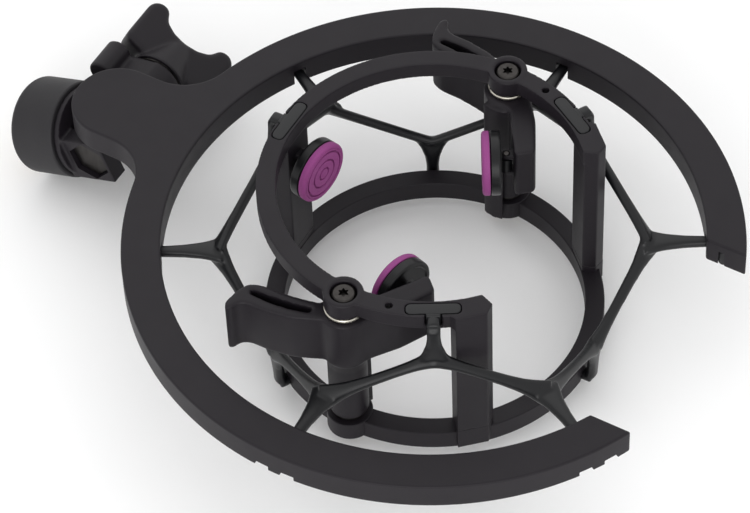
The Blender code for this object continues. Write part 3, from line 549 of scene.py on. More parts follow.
def make_outer_ring():
    ring = prism([ring_outline()], -RING_HALF, RING_HALF, edge=0.75 * MM, segments=4)
    cutters = []
    for index in range(6):
        angle = math.radians(30.0 + 60.0 * index)
        floor = -RING_HALF - 3 * MM
        inner_corner = (RING_BORE_R - 3 * MM, -RING_SLOT_HALF, floor)
        cutters.append(block(inner_corner, (CLIP_RING_R, RING_SLOT_HALF, RING_SLOT_TOP), angle))
        outline = rounded(rectangle(RING_SLOT_LONG, RING_SLOT_DEEP), 0.8 * MM)
        head = prism([outline], floor, RING_SLOT_TOP)
        turn = Matrix.Rotation(angle, 4, "Z") @ Matrix.Translation((CLIP_RING_R, 0.0, 0.0))
        cutters.append(moved(head, turn @ Matrix.Rotation(PI / 2, 4, "Z")))
        for side in (-1.0, 1.0):
            near, far = sorted((side * 1.6 * MM, side * 6.0 * MM))
            outer_corner = (RING_R + 2 * MM, far, -RING_HALF + 1.9 * MM)
            cutters.append(block((CLIP_RING_R, near, floor), outer_corner, angle, 0.25 * MM))
    minus(ring, *cutters)
    knuckle = cylinder(KNUCKLE_R, -4.0 * MM, 4.0 * MM, (PIVOT.x, PIVOT.z), "Y", 72, 0.4 * MM)
    web = block(
        (PIVOT.x - KNUCKLE_R, -3.95 * MM, PIVOT.z), (PIVOT.x + KNUCKLE_R, 3.95 * MM, -RING_HALF + 1.0 * MM)
    )
    union(ring, knuckle, web)
    minus(ring, cylinder(BOLT_HOLE_R, -9 * MM, 9 * MM, (PIVOT.x, PIVOT.z), "Y", 48))
    file_piece(ring, "ring_body", "ring", SATIN, "frame_plastic", "outer_ring")


# ---------------------------------------------------------------- inner cage


def clip_recess(angle, floor, roof):
    """Cutters for one web clip in a cage ring: the racetrack and the throat to the outside."""
    track = prism([rounded(rectangle(CAGE_SLOT_LONG, CAGE_SLOT_DEEP), 1.6 * MM)], floor, roof)
    place = Matrix.Rotation(angle, 4, "Z") @ Matrix.Translation((CLIP_CAGE_R, 0, 0))
    moved(track, place @ Matrix.Rotation(PI / 2, 4, "Z"))
    outer_corner = (CAGE_R + 3 * MM, THROAT_HALF, roof)
    throat = block((CLIP_CAGE_R, -THROAT_HALF, floor), outer_corner, angle, 0.3 * MM)
    return [track, throat]


def on_post(radial, along, index):
    """A point of a post's own plan, which lies along the radius, turned to its place on the ring."""
    spot = polar(radial, math.radians(POST_ANGLES[index]))
    turn = math.radians(POST_ANGLES[index])
    return (spot.x - along * math.sin(turn), spot.y + along * math.cos(turn))


def post_footprint(index):
    """The end posts are wider and come to a blunt point at the ring's opening; the rear one is plain."""
    if index == 2:
        plan = [(POST_IN, -POST_HALF), (POST_OUT, -POST_HALF), (POST_OUT, POST_HALF), (POST_IN, POST_HALF)]
        return [on_post(radial, along, index) for radial, along in plan]
    tip = -1.0 if index == 0 else 1.0
    plan = [(POST_IN, 3.7 * MM), (POST_IN + 3.4 * MM, 5.4 * MM), (END_POST_OUT, 3.3 * MM)]
    plan += [(END_POST_OUT, -POST_HALF), (POST_IN, -POST_HALF)]
    return [on_post(radial, along * tip, index) for radial, along in plan]


def top_ring_outline():
    """The C ring's plan; its ends take the shape of the two end posts."""
    first = post_footprint(0)
    last = post_footprint(1)
    outer = arc((0.0, 0.0), CAGE_R, math.radians(54.6), math.radians(305.4), 150)
    bore_end = math.radians(POST_ANGLES[0]) - math.asin(3.7 * MM / POST_IN)
    bore = arc((0.0, 0.0), CAGE_BORE_R, 2 * PI - bore_end - 0.01, bore_end + 0.01, 170)
    return outer + [last[3], last[2], last[1], last[0]] + bore + [first[0], first[1], first[2], first[3]]


def make_cage_top():
    ring = prism([top_ring_outline()], CAGE_TOP_LOW, CAGE_TOP)
    foot = PLINTH_TOP - 0.1 * MM
    posts = [prism([post_footprint(index)], foot, CAGE_TOP_LOW + 2.0 * MM) for index in range(3)]
    parts = list(posts)
    for sign in (-1.0, 1.0):
        centre = (LEVER_PIVOT.x, LEVER_PIVOT.y * sign)
        parts.append(cylinder(TOP_BOSS_R, BOSS_LOW, CAGE_TOP + 0.1 * MM, centre, sides=72, edge=0.5 * MM))
    union(ring, *parts)
    cutters = []
    for sign in (-1.0, 1.0):
        centre = (LEVER_PIVOT.x, LEVER_PIVOT.y * sign)
        cutters.append(cylinder(SCREW_RECESS_R, CAGE_TOP - 3.0 * MM, CAGE_TOP + 2 * MM, centre, sides=64))
        rim = (CAGE_TOP - 0.25 * MM, CAGE_TOP + 0.6 * MM)
        cutters.append(cylinder(SCREW_RECESS_R, *rim, centre, sides=64, end_radius=4.4 * MM))
        cutters.append(cylinder(2.25 * MM, CAGE_TOP_LOW - 9 * MM, CAGE_TOP, centre, sides=40))
    for angle in UPPER_CLIPS:
        turn = math.radians(angle)
        cutters += clip_recess(turn, CAGE_TOP - CAGE_SLOT_DROP, CAGE_TOP + 2 * MM)
    for angle in SMALL_HOLES:
        spot = polar(SMALL_HOLE_R, math.radians(angle))
        cutters.append(cylinder(1.0 * MM, CAGE_TOP_LOW - 2 * MM, CAGE_TOP + 2 * MM, spot.xy, sides=32))
    for angle in POST_ANGLES:
        spot = polar((POST_IN + POST_OUT) / 2, math.radians(angle)).xy
        cutters.append(cylinder(POST_SCREW_HOLE_R, PLINTH_TOP - 2 * MM, PLINTH_TOP + 9 * MM, spot, sides=32))
    minus(ring, *cutters)
    melt(ring, 0.3 * MM, 4, 0.4)
    add_ears(ring, PAD_FRAMES["rear"])
    file_piece(ring, "cage_upper", "cage", SATIN, "frame_plastic", "cage_top", weighted=False)


def make_cage_base():
    circle = arc((0.0, 0.0), CAGE_R + 0.1 * MM, 0.0, 2 * PI, 200)[:-1]
    bore = arc((0.0, 0.0), CAGE_BORE_R, 0.0, 2 * PI, 200)[:-1]
    base = prism([circle, bore], CAGE_BOTTOM, CAGE_BASE_TOP, edge=0.55 * MM)
    parts = []
    for index in range(3):
        parts.append(prism([post_footprint(index)], CAGE_BOTTOM + 1.3 * MM, PLINTH_TOP, edge=0.2 * MM))
    for sign in (-1.0, 1.0):
        centre = (LEVER_PIVOT.x, LEVER_PIVOT.y * sign)
        foot = CAGE_BOTTOM + 0.7 * MM
        parts.append(cylinder(BASE_BOSS_R, foot, BASE_BOSS_TOP, centre, sides=72, edge=0.45 * MM))
    union(base, *parts)
    cutters = []
    for sign in (-1.0, 1.0):
        centre = (LEVER_PIVOT.x, LEVER_PIVOT.y * sign)
        cutters.append(cylinder(3.2 * MM, CAGE_BOTTOM - 2 * MM, CAGE_BASE_TOP + 3 * MM, centre, sides=48))
    for angle in POST_ANGLES:
        spot = polar((POST_IN + POST_OUT) / 2, math.radians(angle)).xy
        cutters.append(cylinder(POST_SCREW_HOLE_R, CAGE_BOTTOM - MM, 0.0, spot, sides=32))
        cutters.append(cylinder(2.35 * MM, CAGE_BOTTOM - MM, CAGE_BOTTOM + 2.6 * MM, spot, sides=40))
    for angle in LOWER_CLIPS:
        turn = math.radians(angle)
        cutters += clip_recess(turn, CAGE_BOTTOM - 2 * MM, CAGE_BOTTOM + CAGE_SLOT_DROP)
    minus(base, *cutters)
    file_piece(base, "cage_lower", "cage", SATIN, "frame_plastic", "cage_base")


# ---------------------------------------------------------------- pads


def pad_frame(face, facing, swing):
    """The swivel pin's place: its own frame faces as the arm does, and swing turns the pad in it."""
    out = Vector((math.cos(facing), math.sin(facing), 0.0))
    pin = Vector((face[0], face[1], PAD_Z)) + out * 1.9 * MM
    fixed = Matrix.Translation(pin) @ Matrix.Rotation(facing, 4, "Z")
    return {"fixed": fixed, "turned": fixed @ Matrix.Rotation(math.radians(swing), 4, "Z")}


ARM_NORMAL = math.radians(56.6 + 90.0)
PAD_FRAMES = {
    "front": pad_frame((9.9 * MM, -27.4 * MM), ARM_NORMAL, 18.0),
    "back": pad_frame((9.9 * MM, 27.4 * MM), -ARM_NORMAL, -2.4),
    "rear": pad_frame((-POST_IN, 0.0), 0.0, -8.0),
}
ON_SIDE = Matrix.Rotation(PI / 2, 4, "Y")


def add_ears(holder, frames):
    ears = []
    for sign in (-1.0, 1.0):
        low, high = sorted((sign * 2.5 * MM, sign * 3.8 * MM))
        outline = [(-2.9 * MM, -1.7 * MM), (-1.6 * MM, -1.45 * MM)]
        outline += arc((0.0, 0.0), 1.2 * MM, -PI / 2, PI / 2, 16)
        outline += [(-1.6 * MM, 1.45 * MM), (-2.9 * MM, 1.7 * MM)]
        ears.append(moved(prism([outline], low, high, edge=0.2 * MM, segments=2), frames["fixed"]))
    union(holder, *ears)
    minus(holder, moved(cylinder(1.02 * MM, -8 * MM, 8 * MM, sides=32), frames["fixed"]))


def make_pad(side):
    frames = PAD_FRAMES[side]
    body = side + "_pad"
    face = FACE_FROM_PIN
    back = face - RUBBER_THICK
    profile = [(0.0, face)]
    for middle in GROOVE_RADII:
        profile += [
            (middle - 0.3 * MM, face),
            (middle - 0.2 * MM, face - GROOVE_DEPTH),
            (middle + 0.2 * MM, face - GROOVE_DEPTH),
            (middle + 0.3 * MM, face),
        ]
    profile += [(7.55 * MM, face), (7.75 * MM, face - 0.2 * MM)]
    profile += [(x, z) for x, z in arc((7.95 * MM, face - 0.95 * MM), 0.95 * MM, PI / 2, 0.0, 8)]
    profile += [(PAD_R, back + 0.2 * MM), (PAD_R - 0.2 * MM, back), (0.0, back)]
    pad = lathe(profile, 128, frames["turned"] @ ON_SIDE)
    node = "clamp_pad_" + side
    file_piece(pad, body + "_rubber", body, PURPLE, "pad_rubber", node, angle=25.0, weighted=False)

    front = back - GAP
    rear = front - CUP_THICK
    dish = rear + 0.35 * MM
    cup = [(0.0, front), (8.75 * MM, front), (PAD_R, front - 0.15 * MM), (PAD_R, rear + 0.9 * MM)]
    cup += arc((8.2 * MM, rear + 0.7 * MM), 0.7 * MM, 0.0, -PI / 2, 6)
    cup += [(7.6 * MM, rear), (7.2 * MM, dish), (3.4 * MM, dish), (2.9 * MM, rear), (0.0, rear)]
    shell = lathe(cup, 112, ON_SIDE)
    neck = block((0.0, -1.1 * MM, -2.2 * MM), (rear + 1.2 * MM, 1.1 * MM, 2.2 * MM), 0.0, 0.25 * MM)
    knuckle = cylinder(1.6 * MM, -2.2 * MM, 2.2 * MM, sides=40, edge=0.2 * MM)
    union(shell, neck, knuckle)
    minus(shell, cylinder(1.05 * MM, -5 * MM, 5 * MM, sides=32))
    moved(shell, frames["turned"])
    file_piece(shell, body + "_cup", body, GLOSS, "cup_plastic", "pad_cup_" + side)

    holder = {"front": "front_lever", "back": "back_lever", "rear": "cage"}[side]
    pin = moved(cylinder(0.8 * MM, -3.95 * MM, 3.95 * MM, sides=32, edge=0.2 * MM), frames["fixed"])
    file_piece(pin, body + "_pin", holder, DARK_STEEL, "dark_steel", "pad_pin_" + side)


# ---------------------------------------------------------------- levers


def lever_outline(sign):
    grip = [(-10.7, -9.1), (-17.7, -10.3), (-23.6, -10.5), (-25.6, -11.6), (-26.6, -14.2)]
    tab = [(-27.9, -14.6), (-28.9, -12.9), (-28.2, -8.0), (-26.6, -4.6), (-23.4, -3.3)]
    inside = [(-17.8, -3.1), (-12.1, -2.3), (-6.2, -1.0)]
    arm = [(4.3, 6.9), (13.0, 20.1), (14.0, 20.4), (17.4, 17.3), (17.5, 16.2), (12.6, 7.2), (7.6, 0.6)]
    hub_inside = arc((0.0, 0.0), HUB_R, math.radians(168.0), math.radians(74.0), 16)
    hub_outside = arc((0.0, 0.0), HUB_R, math.radians(-12.0), math.radians(-118.0), 18)
    outline = in_mm(grip + tab + inside) + hub_inside + in_mm(arm) + hub_outside
    outline = [(x, y * sign) for x, y in outline]
    return rounded(outline, 1.2 * MM, 3)


def skirt_outline(sign, inner, inset, start):
    """A curved strip round the inner side of the hub."""
    trim = inset / SKIRT_R
    outline = arc((0.0, 0.0), SKIRT_R - inset, start + trim, SKIRT_END - trim, 30)
    outline += arc((0.0, 0.0), inner, SKIRT_END - trim, start + trim, 30)
    return [(x, y * sign) for x, y in outline]


def make_lever(side):
    sign = SIDES[side]
    outer = [(-7.4, -5.4), (-13.0, -6.8), (-19.0, -7.5), (-24.6, -7.3)]
    inner = [(-24.9, -5.9), (-19.0, -5.4), (-13.0, -4.7), (-7.6, -3.6)]
    body = prism([lever_outline(sign)], LEVER_LOW, LEVER_TOP, edge=0.5 * MM)
    shoulder = LEVER_LOW + 0.9 * MM
    flare = [(0.0, shoulder), (HUB_R - 0.1 * MM, shoulder)]
    flare += [(TUBE_R + 0.35 * MM, LEVER_LOW - 1.2 * MM), (TUBE_R, LEVER_LOW - 3.6 * MM)]
    tube = lathe(flare + [(TUBE_R, TUBE_FOOT), (0.0, TUBE_FOOT)], 72)
    root_plan = skirt_outline(sign, HUB_R - 0.7 * MM, 0.6 * MM, SKIRT_START)
    root = prism([root_plan], LEVER_LOW + 1.4 * MM, LEVER_TOP - 1.2 * MM)
    skirt_plan = skirt_outline(sign, SKIRT_BORE_R, 0.0, SKIRT_START)
    skirt = prism([skirt_plan], LEVER_LOW + 0.2 * MM, LEVER_TOP - 0.9 * MM)
    foot_plan = skirt_outline(sign, SKIRT_BORE_R + 0.06 * MM, 0.06 * MM, SKIRT_FOOT_START)
    foot = prism([foot_plan], SKIRT_FOOT, LEVER_LOW + 2.0 * MM)
    union(body, tube, root, skirt, foot)
    hollow = prism([rounded(in_mm(outer + inner, sign), 0.7 * MM)], LEVER_LOW + 3 * MM, LEVER_TOP + 2 * MM)
    room = cylinder(TUBE_BORE_R, TUBE_FOOT - MM, LEVER_TOP - 3.8 * MM, sides=48)
    hole = cylinder(2.3 * MM, TUBE_FOOT, LEVER_TOP + MM, sides=40)
    minus(body, hollow, room, hole)
    melt(body, 0.42 * MM, 5, 0.45)
    moved(body, Matrix.Translation((LEVER_PIVOT.x, LEVER_PIVOT.y * sign, 0.0)))
    add_ears(body, PAD_FRAMES[side])
    node = "lever_" + side
    file_piece(body, side + "_lever_arm", side + "_lever", SATIN, "frame_plastic", node, weighted=False)


def lobed_socket():
    steps = 96
    angles = [2 * PI * i / steps for i in range(steps)]
    lobe = [(1.2 + 0.27 * math.cos(6 * a)) * MM for a in angles]
    return [(r * math.cos(a), r * math.sin(a)) for r, a in zip(lobe, angles)]


def make_pivot_hardware(side):
    place = Matrix.Translation((LEVER_PIVOT.x, LEVER_PIVOT.y * SIDES[side], 0.0))
    seat = CAGE_TOP - 2.7 * MM
    head_top = seat + 2.35 * MM
    profile = [(0.0, head_top), (2.7 * MM, head_top)]
    profile += [(3.1 * MM, head_top - 0.25 * MM), (3.3 * MM, head_top - 0.6 * MM)]
    profile += [(3.3 * MM, seat), (1.95 * MM, seat), (1.95 * MM, CAGE_BOTTOM + MM), (0.0, CAGE_BOTTOM + MM)]
    screw = lathe(profile, 64)
    minus(screw, prism([lobed_socket()], head_top - 1.5 * MM, head_top + MM))
    moved(screw, place)
    file_piece(screw, f"{side}_pivot_screw", "cage", DARK_STEEL, "dark_steel", f"pivot_screw_{side}")
    levels = (
        ("upper", LEVER_TOP + GAP, 5.4, BRIGHT_STEEL, "bright_steel"),
        ("lower", BASE_BOSS_TOP + GAP, 4.7, DARK_STEEL, "dark_steel"),
    )
    for level, low, outer, finish, slot in levels:
        high = low + 1.0 * MM
        outer_r = outer * MM
        ring = [(outer_r - 0.25 * MM, high), (outer_r, high - 0.25 * MM), (outer_r, low + 0.25 * MM)]
        ring += [(outer_r - 0.25 * MM, low), (2.25 * MM, low), (2.25 * MM, high)]
        disc = moved(lathe(ring, 72), place)
        file_piece(disc, f"{side}_{level}_washer", "cage", finish, slot, f"{level}_washer_{side}")


# ---------------------------------------------------------------- stand adapter

ADAPTER = Matrix.Translation(PIVOT) @ Matrix.Rotation(-DROOP, 4, "Y")
BARREL_LINE = ADAPTER @ Matrix.Translation((0.0, 0.0, BARREL_LIFT)) @ ON_SIDE


def make_barrel():
    wall = BARREL_R - 3.0 * MM
    floor = BARREL_FRONT - 3.0 * MM
    shell = [(12.6 * MM, BARREL_FRONT)]
    shell += arc((BARREL_R - 0.7 * MM, BARREL_FRONT - 0.7 * MM), 0.7 * MM, PI / 2, 0.0, 6)
    shell += arc((BARREL_R - 2.0 * MM, BARREL_MOUTH + 2.0 * MM), 2.0 * MM, 0.0, -PI / 2, 14)
    shell += [(wall + 0.3 * MM, BARREL_MOUTH), (wall, BARREL_MOUTH + 0.3 * MM), (wall, floor)]
    shell += [(7.3 * MM, floor), (7.3 * MM, BARREL_FRONT)]
    barrel = lathe(shell, 160, BARREL_LINE)
    file_piece(barrel, "barrel_shell", "barrel", SANDED, "barrel_plastic", "stand_barrel")

    outer = wall - 0.25 * MM
    low = BARREL_MOUTH + 0.3 * MM
    high = BARREL_MOUTH + 9.6 * MM
    root = 7.95 * MM
    crest = 7.35 * MM
    insert = [(outer, high), (outer, low + 0.5 * MM), (outer - 0.5 * MM, low)]
    insert += [(8.7 * MM, low), (7.9 * MM, low + 0.8 * MM)]
    z = low + 0.9 * MM
    while z + THREAD_PITCH < high - 0.2 * MM:
        insert += [(root, z), (root, z + 0.12 * MM), (crest, z + 0.47 * MM), (crest, z + 0.59 * MM)]
        z += THREAD_PITCH
    insert += [(7.9 * MM, high - 0.15 * MM), (7.9 * MM, high)]
    thread = lathe(insert, 96, BARREL_LINE)
    file_piece(thread, "stand_thread_insert", "barrel", BRASS, "insert_brass", "thread_insert")


def hexagon(radius):
    angles = [math.radians(30 + 60 * i) for i in range(6)]
    return [(radius * math.cos(a), radius * math.sin(a)) for a in angles]


def make_yoke():
    half = EAR_HALF
    base = cylinder(12.9 * MM, -9.3 * MM, -7.4 * MM, (0.0, BARREL_LIFT), "X", 96)
    spindle = cylinder(7.0 * MM, -15.0 * MM, -8.0 * MM, (0.0, BARREL_LIFT), "X", 72)
    top = arc((0.0, 0.0), EAR_CORNER_R, math.acos(6.5 / 8.3), math.asin(7.0 / 8.3), 10)
    ear = [(-9.0 * MM, -half), (6.5 * MM, -half)] + top + [(-9.0 * MM, half)]
    near = prism([ear], -11.0 * MM, -5.6 * MM, "Y")
    far = prism([ear], 5.6 * MM, 19.0 * MM, "Y")
    cheek_side = [(-12.6 * MM, -half), (4.5 * MM, -half)]
    cheek_side += arc((0.0, 0.0), EAR_CORNER_R, math.radians(-52.0), math.radians(62.0), 26)
    cheek_side += [(-5.2 * MM, 8.6 * MM)]
    cheek_side += arc((-8.6 * MM, 10.4 * MM), 3.4 * MM, 0.0, PI / 2, 10)
    cheek_side += arc((-9.2 * MM, 10.4 * MM), 3.4 * MM, PI / 2, PI, 10)
    cheek = prism([cheek_side], 14.3 * MM, 25.0 * MM, "Y", edge=0.8 * MM)
    union(base, spindle, near, far, cheek)
    groove = lathe(
        [(9.0 * MM, -12.7 * MM), (9.0 * MM, -13.9 * MM), (6.0 * MM, -13.9 * MM), (6.0 * MM, -12.7 * MM)],
        72,
        Matrix.Translation((0.0, 0.0, BARREL_LIFT)) @ ON_SIDE,
    )
    pocket = prism([hexagon(BOLT_HEAD_R + GAP)], -12.0 * MM, -7.6 * MM, "Y")
    bore = cylinder(BOLT_HOLE_R, -30 * MM, 30 * MM, axis="Y", sides=48)
    melt(base, 0.36 * MM, 3, 0.5)
    minus(base, groove, pocket, bore)
    moved(base, ADAPTER)
    file_piece(base, "yoke_body", "yoke", SATIN, "frame_plastic", "yoke", weighted=False)

    bolt = prism([hexagon(BOLT_HEAD_R)], -9.5 * MM, -7.9 * MM, "Y", edge=0.3 * MM)
    union(bolt, cylinder(BOLT_R, -8.9 * MM, KNOB_LOW + 4.0 * MM, axis="Y", sides=64))
    moved(bolt, ADAPTER)
    file_piece(bolt, "clamp_bolt_body", "yoke", DARK_STEEL, "dark_steel", "clamp_bolt")


def make_wing():
    at_bolt = Matrix.Translation(PIVOT)
    low = KNOB_LOW
    span = KNOB_HALF_SPAN
    tip = KNOB_TIP
    half = [(0.0, low), (7.0 * MM, low), (12.4 * MM, low + 0.8 * MM)]
    half += arc((12.4 * MM, low + 3.4 * MM), 2.6 * MM, -PI / 2 + 0.5, 0.0, 6)
    half += arc((span - 3.6 * MM, tip - 3.6 * MM), 3.6 * MM, 0.0, math.radians(130.0), 12)
    half += [(7.5 * MM, tip - 3.9 * MM), (4.0 * MM, tip - 5.6 * MM), (0.0, tip - 6.2 * MM)]
    outline = half + [(-x, y) for x, y in half[1:-1]][::-1]
    wing = prism([outline], -4.3 * MM, 4.3 * MM, edge=2.8 * MM, segments=5)
    moved(wing, Matrix.Rotation(KNOB_TURN, 4, "Y"))
    hub = cylinder(8.8 * MM, 25.4 * MM, low + 11.0 * MM, axis="Y", sides=96, end_radius=4.6 * MM)
    union(wing, hub)
    melt(wing, 0.4 * MM, 16, 0.5)
    washer_room = cylinder(7.9 * MM, low - 3 * MM, low, axis="Y", sides=72)
    minus(wing, washer_room, cylinder(5.9 * MM, low - MM, low + 4.7 * MM, axis="Y", sides=48))
    moved(wing, at_bolt)
    file_piece(wing, "wing_handle", "wing_knob", SATIN, "frame_plastic", "wing_knob", weighted=False)

    ring = [(7.4 * MM, 26.5 * MM), (7.6 * MM, 26.3 * MM), (7.6 * MM, 25.5 * MM), (7.4 * MM, 25.3 * MM)]
    ring += [(4.25 * MM, 25.3 * MM), (4.25 * MM, 26.5 * MM)]
    disc = lathe(ring, 80, at_bolt @ Matrix.Rotation(-PI / 2, 4, "X"))
    file_piece(disc, "clamp_disc", "wing_knob", DARK_STEEL, "dark_steel", "clamp_washer")


# ---------------------------------------------------------------- elastic web


def strip(bm, start, end, across, widths, thickness, rows=14):
    """A limb from start to end with an elliptical section, its half width read along widths."""
    along = (end - start).normalized()
    side = (across - along * across.dot(along)).normalized()
    up = along.cross(side)
    rings = []
    around = 20
    for i in range(rows + 1):
        t = i / rows
        where = t * (len(widths) - 1)
        k = min(int(where), len(widths) - 2)
        half = widths[k] + (widths[k + 1] - widths[k]) * (where - k)
        centre = start + (end - start) * t
        ring = []
        for j in range(around):
            a = 2 * PI * j / around
            wide = half * math.copysign(abs(math.cos(a)) ** FLATNESS, math.cos(a))
            deep = thickness * math.copysign(abs(math.sin(a)) ** FLATNESS, math.sin(a))
            ring.append(bm.verts.new(centre + side * wide + up * deep))
        rings.append(ring)
    for first, second in zip(rings, rings[1:]):
        for j in range(around):
            bm.faces.new((first[j], first[(j + 1) % around], second[(j + 1) % around], second[j]))
    bm.faces.new(rings[0][::-1])
    bm.faces.new(rings[-1])


def web_nodes():
    nodes = []
    for index in range(12):
        angle = math.radians(30.0 * index)
        if index % 2:
            nodes.append((polar(OUTER_NODE_R, angle, OUTER_NODE_Z), angle, "outer"))
        else:
            kind = "upper" if index in (2, 6, 10) else "lower"
            height = UPPER_NODE_Z if kind == "upper" else LOWER_NODE_Z
            nodes.append((polar(INNER_NODE_R, angle, height), angle, kind))
    return nodes


def web_skin():
    """The whole web as one relaxed skin, before it is parted where it bends."""
    nodes = web_nodes()
    bm = bmesh.new()
    outer_half = [3.7 * MM, 2.7 * MM, 2.0 * MM, 1.7 * MM, 1.55 * MM]
    inner_half = [1.5 * MM, 1.5 * MM, 1.6 * MM, 1.9 * MM, 2.7 * MM]
    arm = outer_half + inner_half
    thick = LIMB_HALF_THICK
    for index, (point, _, _) in enumerate(nodes):
        other = nodes[(index + 1) % 12][0]
        out = Vector((point.x + other.x, point.y + other.y, 0.0)).normalized()
        face = out + Vector((0.0, 0.0, LIMB_LEAN))
        along = (other - point).normalized()
        strip(bm, point, other, along.cross(face), arm if index % 2 else arm[::-1], thick)
    for point, angle, kind in nodes:
        tangent = Vector((-math.sin(angle), math.cos(angle), 0.0))
        if kind == "outer":
            strip(bm, point - polar(1.5 * MM, angle), polar(CLIP_RING_R, angle, -1.2 * MM), tangent,
                  [4.4 * MM, 2.7 * MM, 1.9 * MM, 1.6 * MM, 1.6 * MM], thick)
        else:
            sign = 1.0 if kind == "upper" else -1.0
            end = CAGE_TOP if sign > 0 else CAGE_BOTTOM
            knee = polar(INNER_NODE_R - 0.5 * MM, angle, end - sign * 2.2 * MM)
            turn = polar(INNER_NODE_R - 0.1 * MM, angle, end - sign * 1.45 * MM)
            heart = polar(CLIP_CAGE_R, angle, end - sign * 1.45 * MM)
            strip(bm, point - Vector((0, 0, sign * 1.5 * MM)), knee, tangent,
                  [5.2 * MM, 3.3 * MM, 2.2 * MM, 1.8 * MM, STEM_HALF], thick)
            strip(bm, turn, heart, tangent, [STEM_HALF, STEM_HALF], thick, 6)
    web = from_bmesh(bm)
    return melt(web, 0.4 * MM, 12)


def web_clip(angle, kind):
    """The bar at the end of a stem, which fills its recess; on the cage it has a short stem of its own."""
    if kind == "outer":
        half, deep, radius = 6.45 * MM, 1.6 * MM, CLIP_RING_R
        low, high = -RING_HALF + 0.5 * MM, 1.05 * MM
    else:
        half, deep, radius = 7.25 * MM, 1.7 * MM, CLIP_CAGE_R
        low = CAGE_TOP - 3.5 * MM if kind == "upper" else CAGE_BOTTOM
        high = CAGE_TOP if kind == "upper" else CAGE_BOTTOM + 3.5 * MM
    corner = 1.4 * MM
    right = arc((half - corner, corner - deep), corner, -PI / 2, 0.0, 6)
    right += arc((half - corner, deep - corner), corner, 0.0, PI / 2, 6)
    outline = right + [(-x, y) for x, y in right[::-1]]
    if kind != "outer":
        reach = 2.7 * MM
        outline += [(-STEM_HALF, -deep), (-STEM_HALF, -reach), (STEM_HALF, -reach), (STEM_HALF, -deep)]
    bar = prism([outline], low, high, edge=0.35 * MM)
    turn = Matrix.Rotation(angle, 4, "Z") @ Matrix.Translation((radius, 0.0, 0.0))
    moved(bar, turn @ Matrix.Rotation(PI / 2, 4, "Z"))
    return bar


def absorb(target, other):
    """Adds another object's closed shell to a mesh."""
    bm = bmesh.new()
    bm.from_mesh(target.data)
    bm.from_mesh(other.data)
    bm.to_mesh(target.data)
    bm.free()
    bpy.data.objects.remove(other)
    return target


def part_of(source, keep):
    """A copy of the faces that keep chooses, with its cuts filled."""
    bm = bmesh.new()
    bm.from_mesh(source)
    dropped = [face for face in bm.faces if not keep(face.calc_center_median())]
    bmesh.ops.delete(bm, geom=dropped, context="FACES")
    rims = [edge for edge in bm.edges if edge.is_boundary]
    filled = bmesh.ops.holes_fill(bm, edges=rims, sides=0)
    for face in filled["faces"]:
        for edge in face.edges:
            edge.smooth = False
    return from_bmesh(bm)


def make_web():
    """Hubs move with the ring or the cage; the twelve arms between them are parted from the hubs and ride on
    neither.
    """
    nodes = web_nodes()
    skin = web_skin()
    mesh = skin.data
    bm = bmesh.new()
    bm.from_mesh(mesh)
    for index in range(12):
        start = nodes[index][0]
        run = nodes[(index + 1) % 12][0] - start
        for share in (FIRST_CUT, LAST_CUT):
            cut = start + run * share
            near = [f for f in bm.faces if (f.calc_center_median() - cut).length < 6 * MM]
            geometry = set(near)
            for face in near:
                geometry.update(face.edges)
                geometry.update(face.verts)
            across = run.normalized()
            bmesh.ops.bisect_plane(bm, geom=list(geometry), plane_co=cut, plane_no=across, dist=1e-7)
    bm.to_mesh(mesh)
    bm.free()

    def arm_share(point, index):
        start = nodes[index][0]
        run = nodes[(index + 1) % 12][0] - start
        return (point - start).dot(run) / run.length_squared

    def arm_at(point):
        """The arm whose stretch between the cuts holds a point, or None."""
        for index in range(12):
            start = nodes[index][0]
            run = nodes[(index + 1) % 12][0] - start
            share = arm_share(point, index)
            aside = (point - start - run * share).length
            if FIRST_CUT < share < LAST_CUT and aside < 4.0 * MM:
                return index
        return None

    def nearest_node(point):
        def away(index):
            _, angle, _ = nodes[index]
            turn = math.atan2(point.y, point.x) - angle
            return abs(math.atan2(math.sin(turn), math.cos(turn)))

        return min(range(12), key=away)

    for index in range(12):
        arm = part_of(mesh, lambda point, i=index: arm_at(point) == i)
        name = f"web_arm_{index + 1}"
        file_piece(arm, name, None, WEB_SKIN, "web_elastomer", "suspension_web", angle=60.0, weighted=False)
        first = nodes[index][0] + ORIGIN
        second = nodes[(index + 1) % 12][0] + ORIGIN
        run = second - first
        from_ring = (first + run * FIRST_CUT, first + run * LAST_CUT)
        start, end = from_ring if index % 2 else from_ring[::-1]
        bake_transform(arm)
    for index, (_, angle, kind) in enumerate(nodes):
        hub = part_of(mesh, lambda point, i=index: arm_at(point) is None and nearest_node(point) == i)
        absorb(hub, web_clip(angle, kind))
        body = "ring" if kind == "outer" else "cage"
        file_piece(hub, f"web_hub_{index + 1}", body, WEB_SKIN, "web_elastomer", angle=60.0, weighted=False)
    bpy.data.objects.remove(skin)


# ---------------------------------------------------------------- stage


def soft_light(name, where, target, size, power):
    lamp = bpy.data.lights.new(name, "AREA")
    lamp.shape = "DISK"
    lamp.size = size
    lamp.energy = power
    obj = bpy.data.objects.new(name, lamp)
    bpy.context.scene.collection.objects.link(obj)
    obj.location = where
    obj.rotation_euler = (Vector(target) - Vector(where)).to_track_quat("-Z", "Y").to_euler()
    return obj


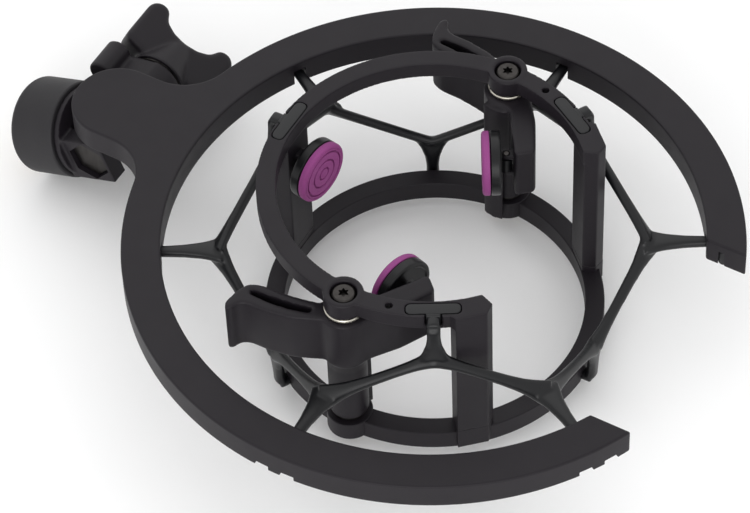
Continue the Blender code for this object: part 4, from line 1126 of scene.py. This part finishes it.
def make_stage():
    scene = bpy.context.scene
    floor_z = CAD_BOX[0][2] - 0.5 * MM
    bm = bmesh.new()
    bmesh.ops.create_grid(bm, x_segments=1, y_segments=1, size=4.0)
    floor = from_bmesh(bm)
    floor.name = "floor"
    floor.location = (0.1, 0.0, floor_z)
    paper = Nodes("floor_paper", (0.93, 0.93, 0.93), 0.85)
    tint = paper.blend(paper.noise(3.0, 2.0), (0.92, 0.92, 0.92), (0.94, 0.94, 0.94))
    paper.wire(tint, paper.shader.inputs["Base Color"])
    floor.data.materials.append(paper.material)

    world = bpy.data.worlds.new("studio")
    scene.world = world
    world.use_nodes = True
    background = world.node_tree.nodes["Background"]
    background.inputs["Color"].default_value = (1.0, 1.0, 1.0, 1.0)
    background.inputs["Strength"].default_value = 1.0

    middle = ORIGIN
    soft_light("key", middle + Vector((-0.5, 0.5, 0.9)), middle, 1.2, 2.0)
    soft_light("fill", middle + Vector((0.4, -1.0, 0.35)), middle, 1.0, 6.0)
    scene.view_settings.view_transform = "Standard"

    camera_data = bpy.data.cameras.new("camera")
    camera_data.lens = CAMERA_LENS
    camera_data.sensor_width = 36.0
    camera_data.clip_start = 0.01
    camera = bpy.data.objects.new("camera", camera_data)
    scene.collection.objects.link(camera)
    camera.location = ORIGIN + CAMERA_PLACE
    camera.rotation_euler = [math.radians(a) for a in CAMERA_TURN]
    scene.camera = camera


make_outer_ring()
make_cage_top()
make_cage_base()
for lever_side in SIDES:
    make_lever(lever_side)
    make_pivot_hardware(lever_side)
for pad_side in PAD_FRAMES:
    make_pad(pad_side)
make_barrel()
make_yoke()
make_wing()
make_web()

for node, finish in (
    ("barrel_clip", BRIGHT_STEEL),
    ("knob_insert", BRASS),
    ("friction_washer_near", FIBRE),
    ("friction_washer_far", FIBRE),
    ("post_screw_1", DARK_STEEL),
    ("post_screw_2", DARK_STEEL),
    ("post_screw_3", DARK_STEEL),
    ("base_insert_front", BRASS),
    ("base_insert_back", BRASS),
    ("torsion_spring_front", DARK_STEEL),
    ("torsion_spring_back", DARK_STEEL),
):
    carry(node, finish)

make_stage()
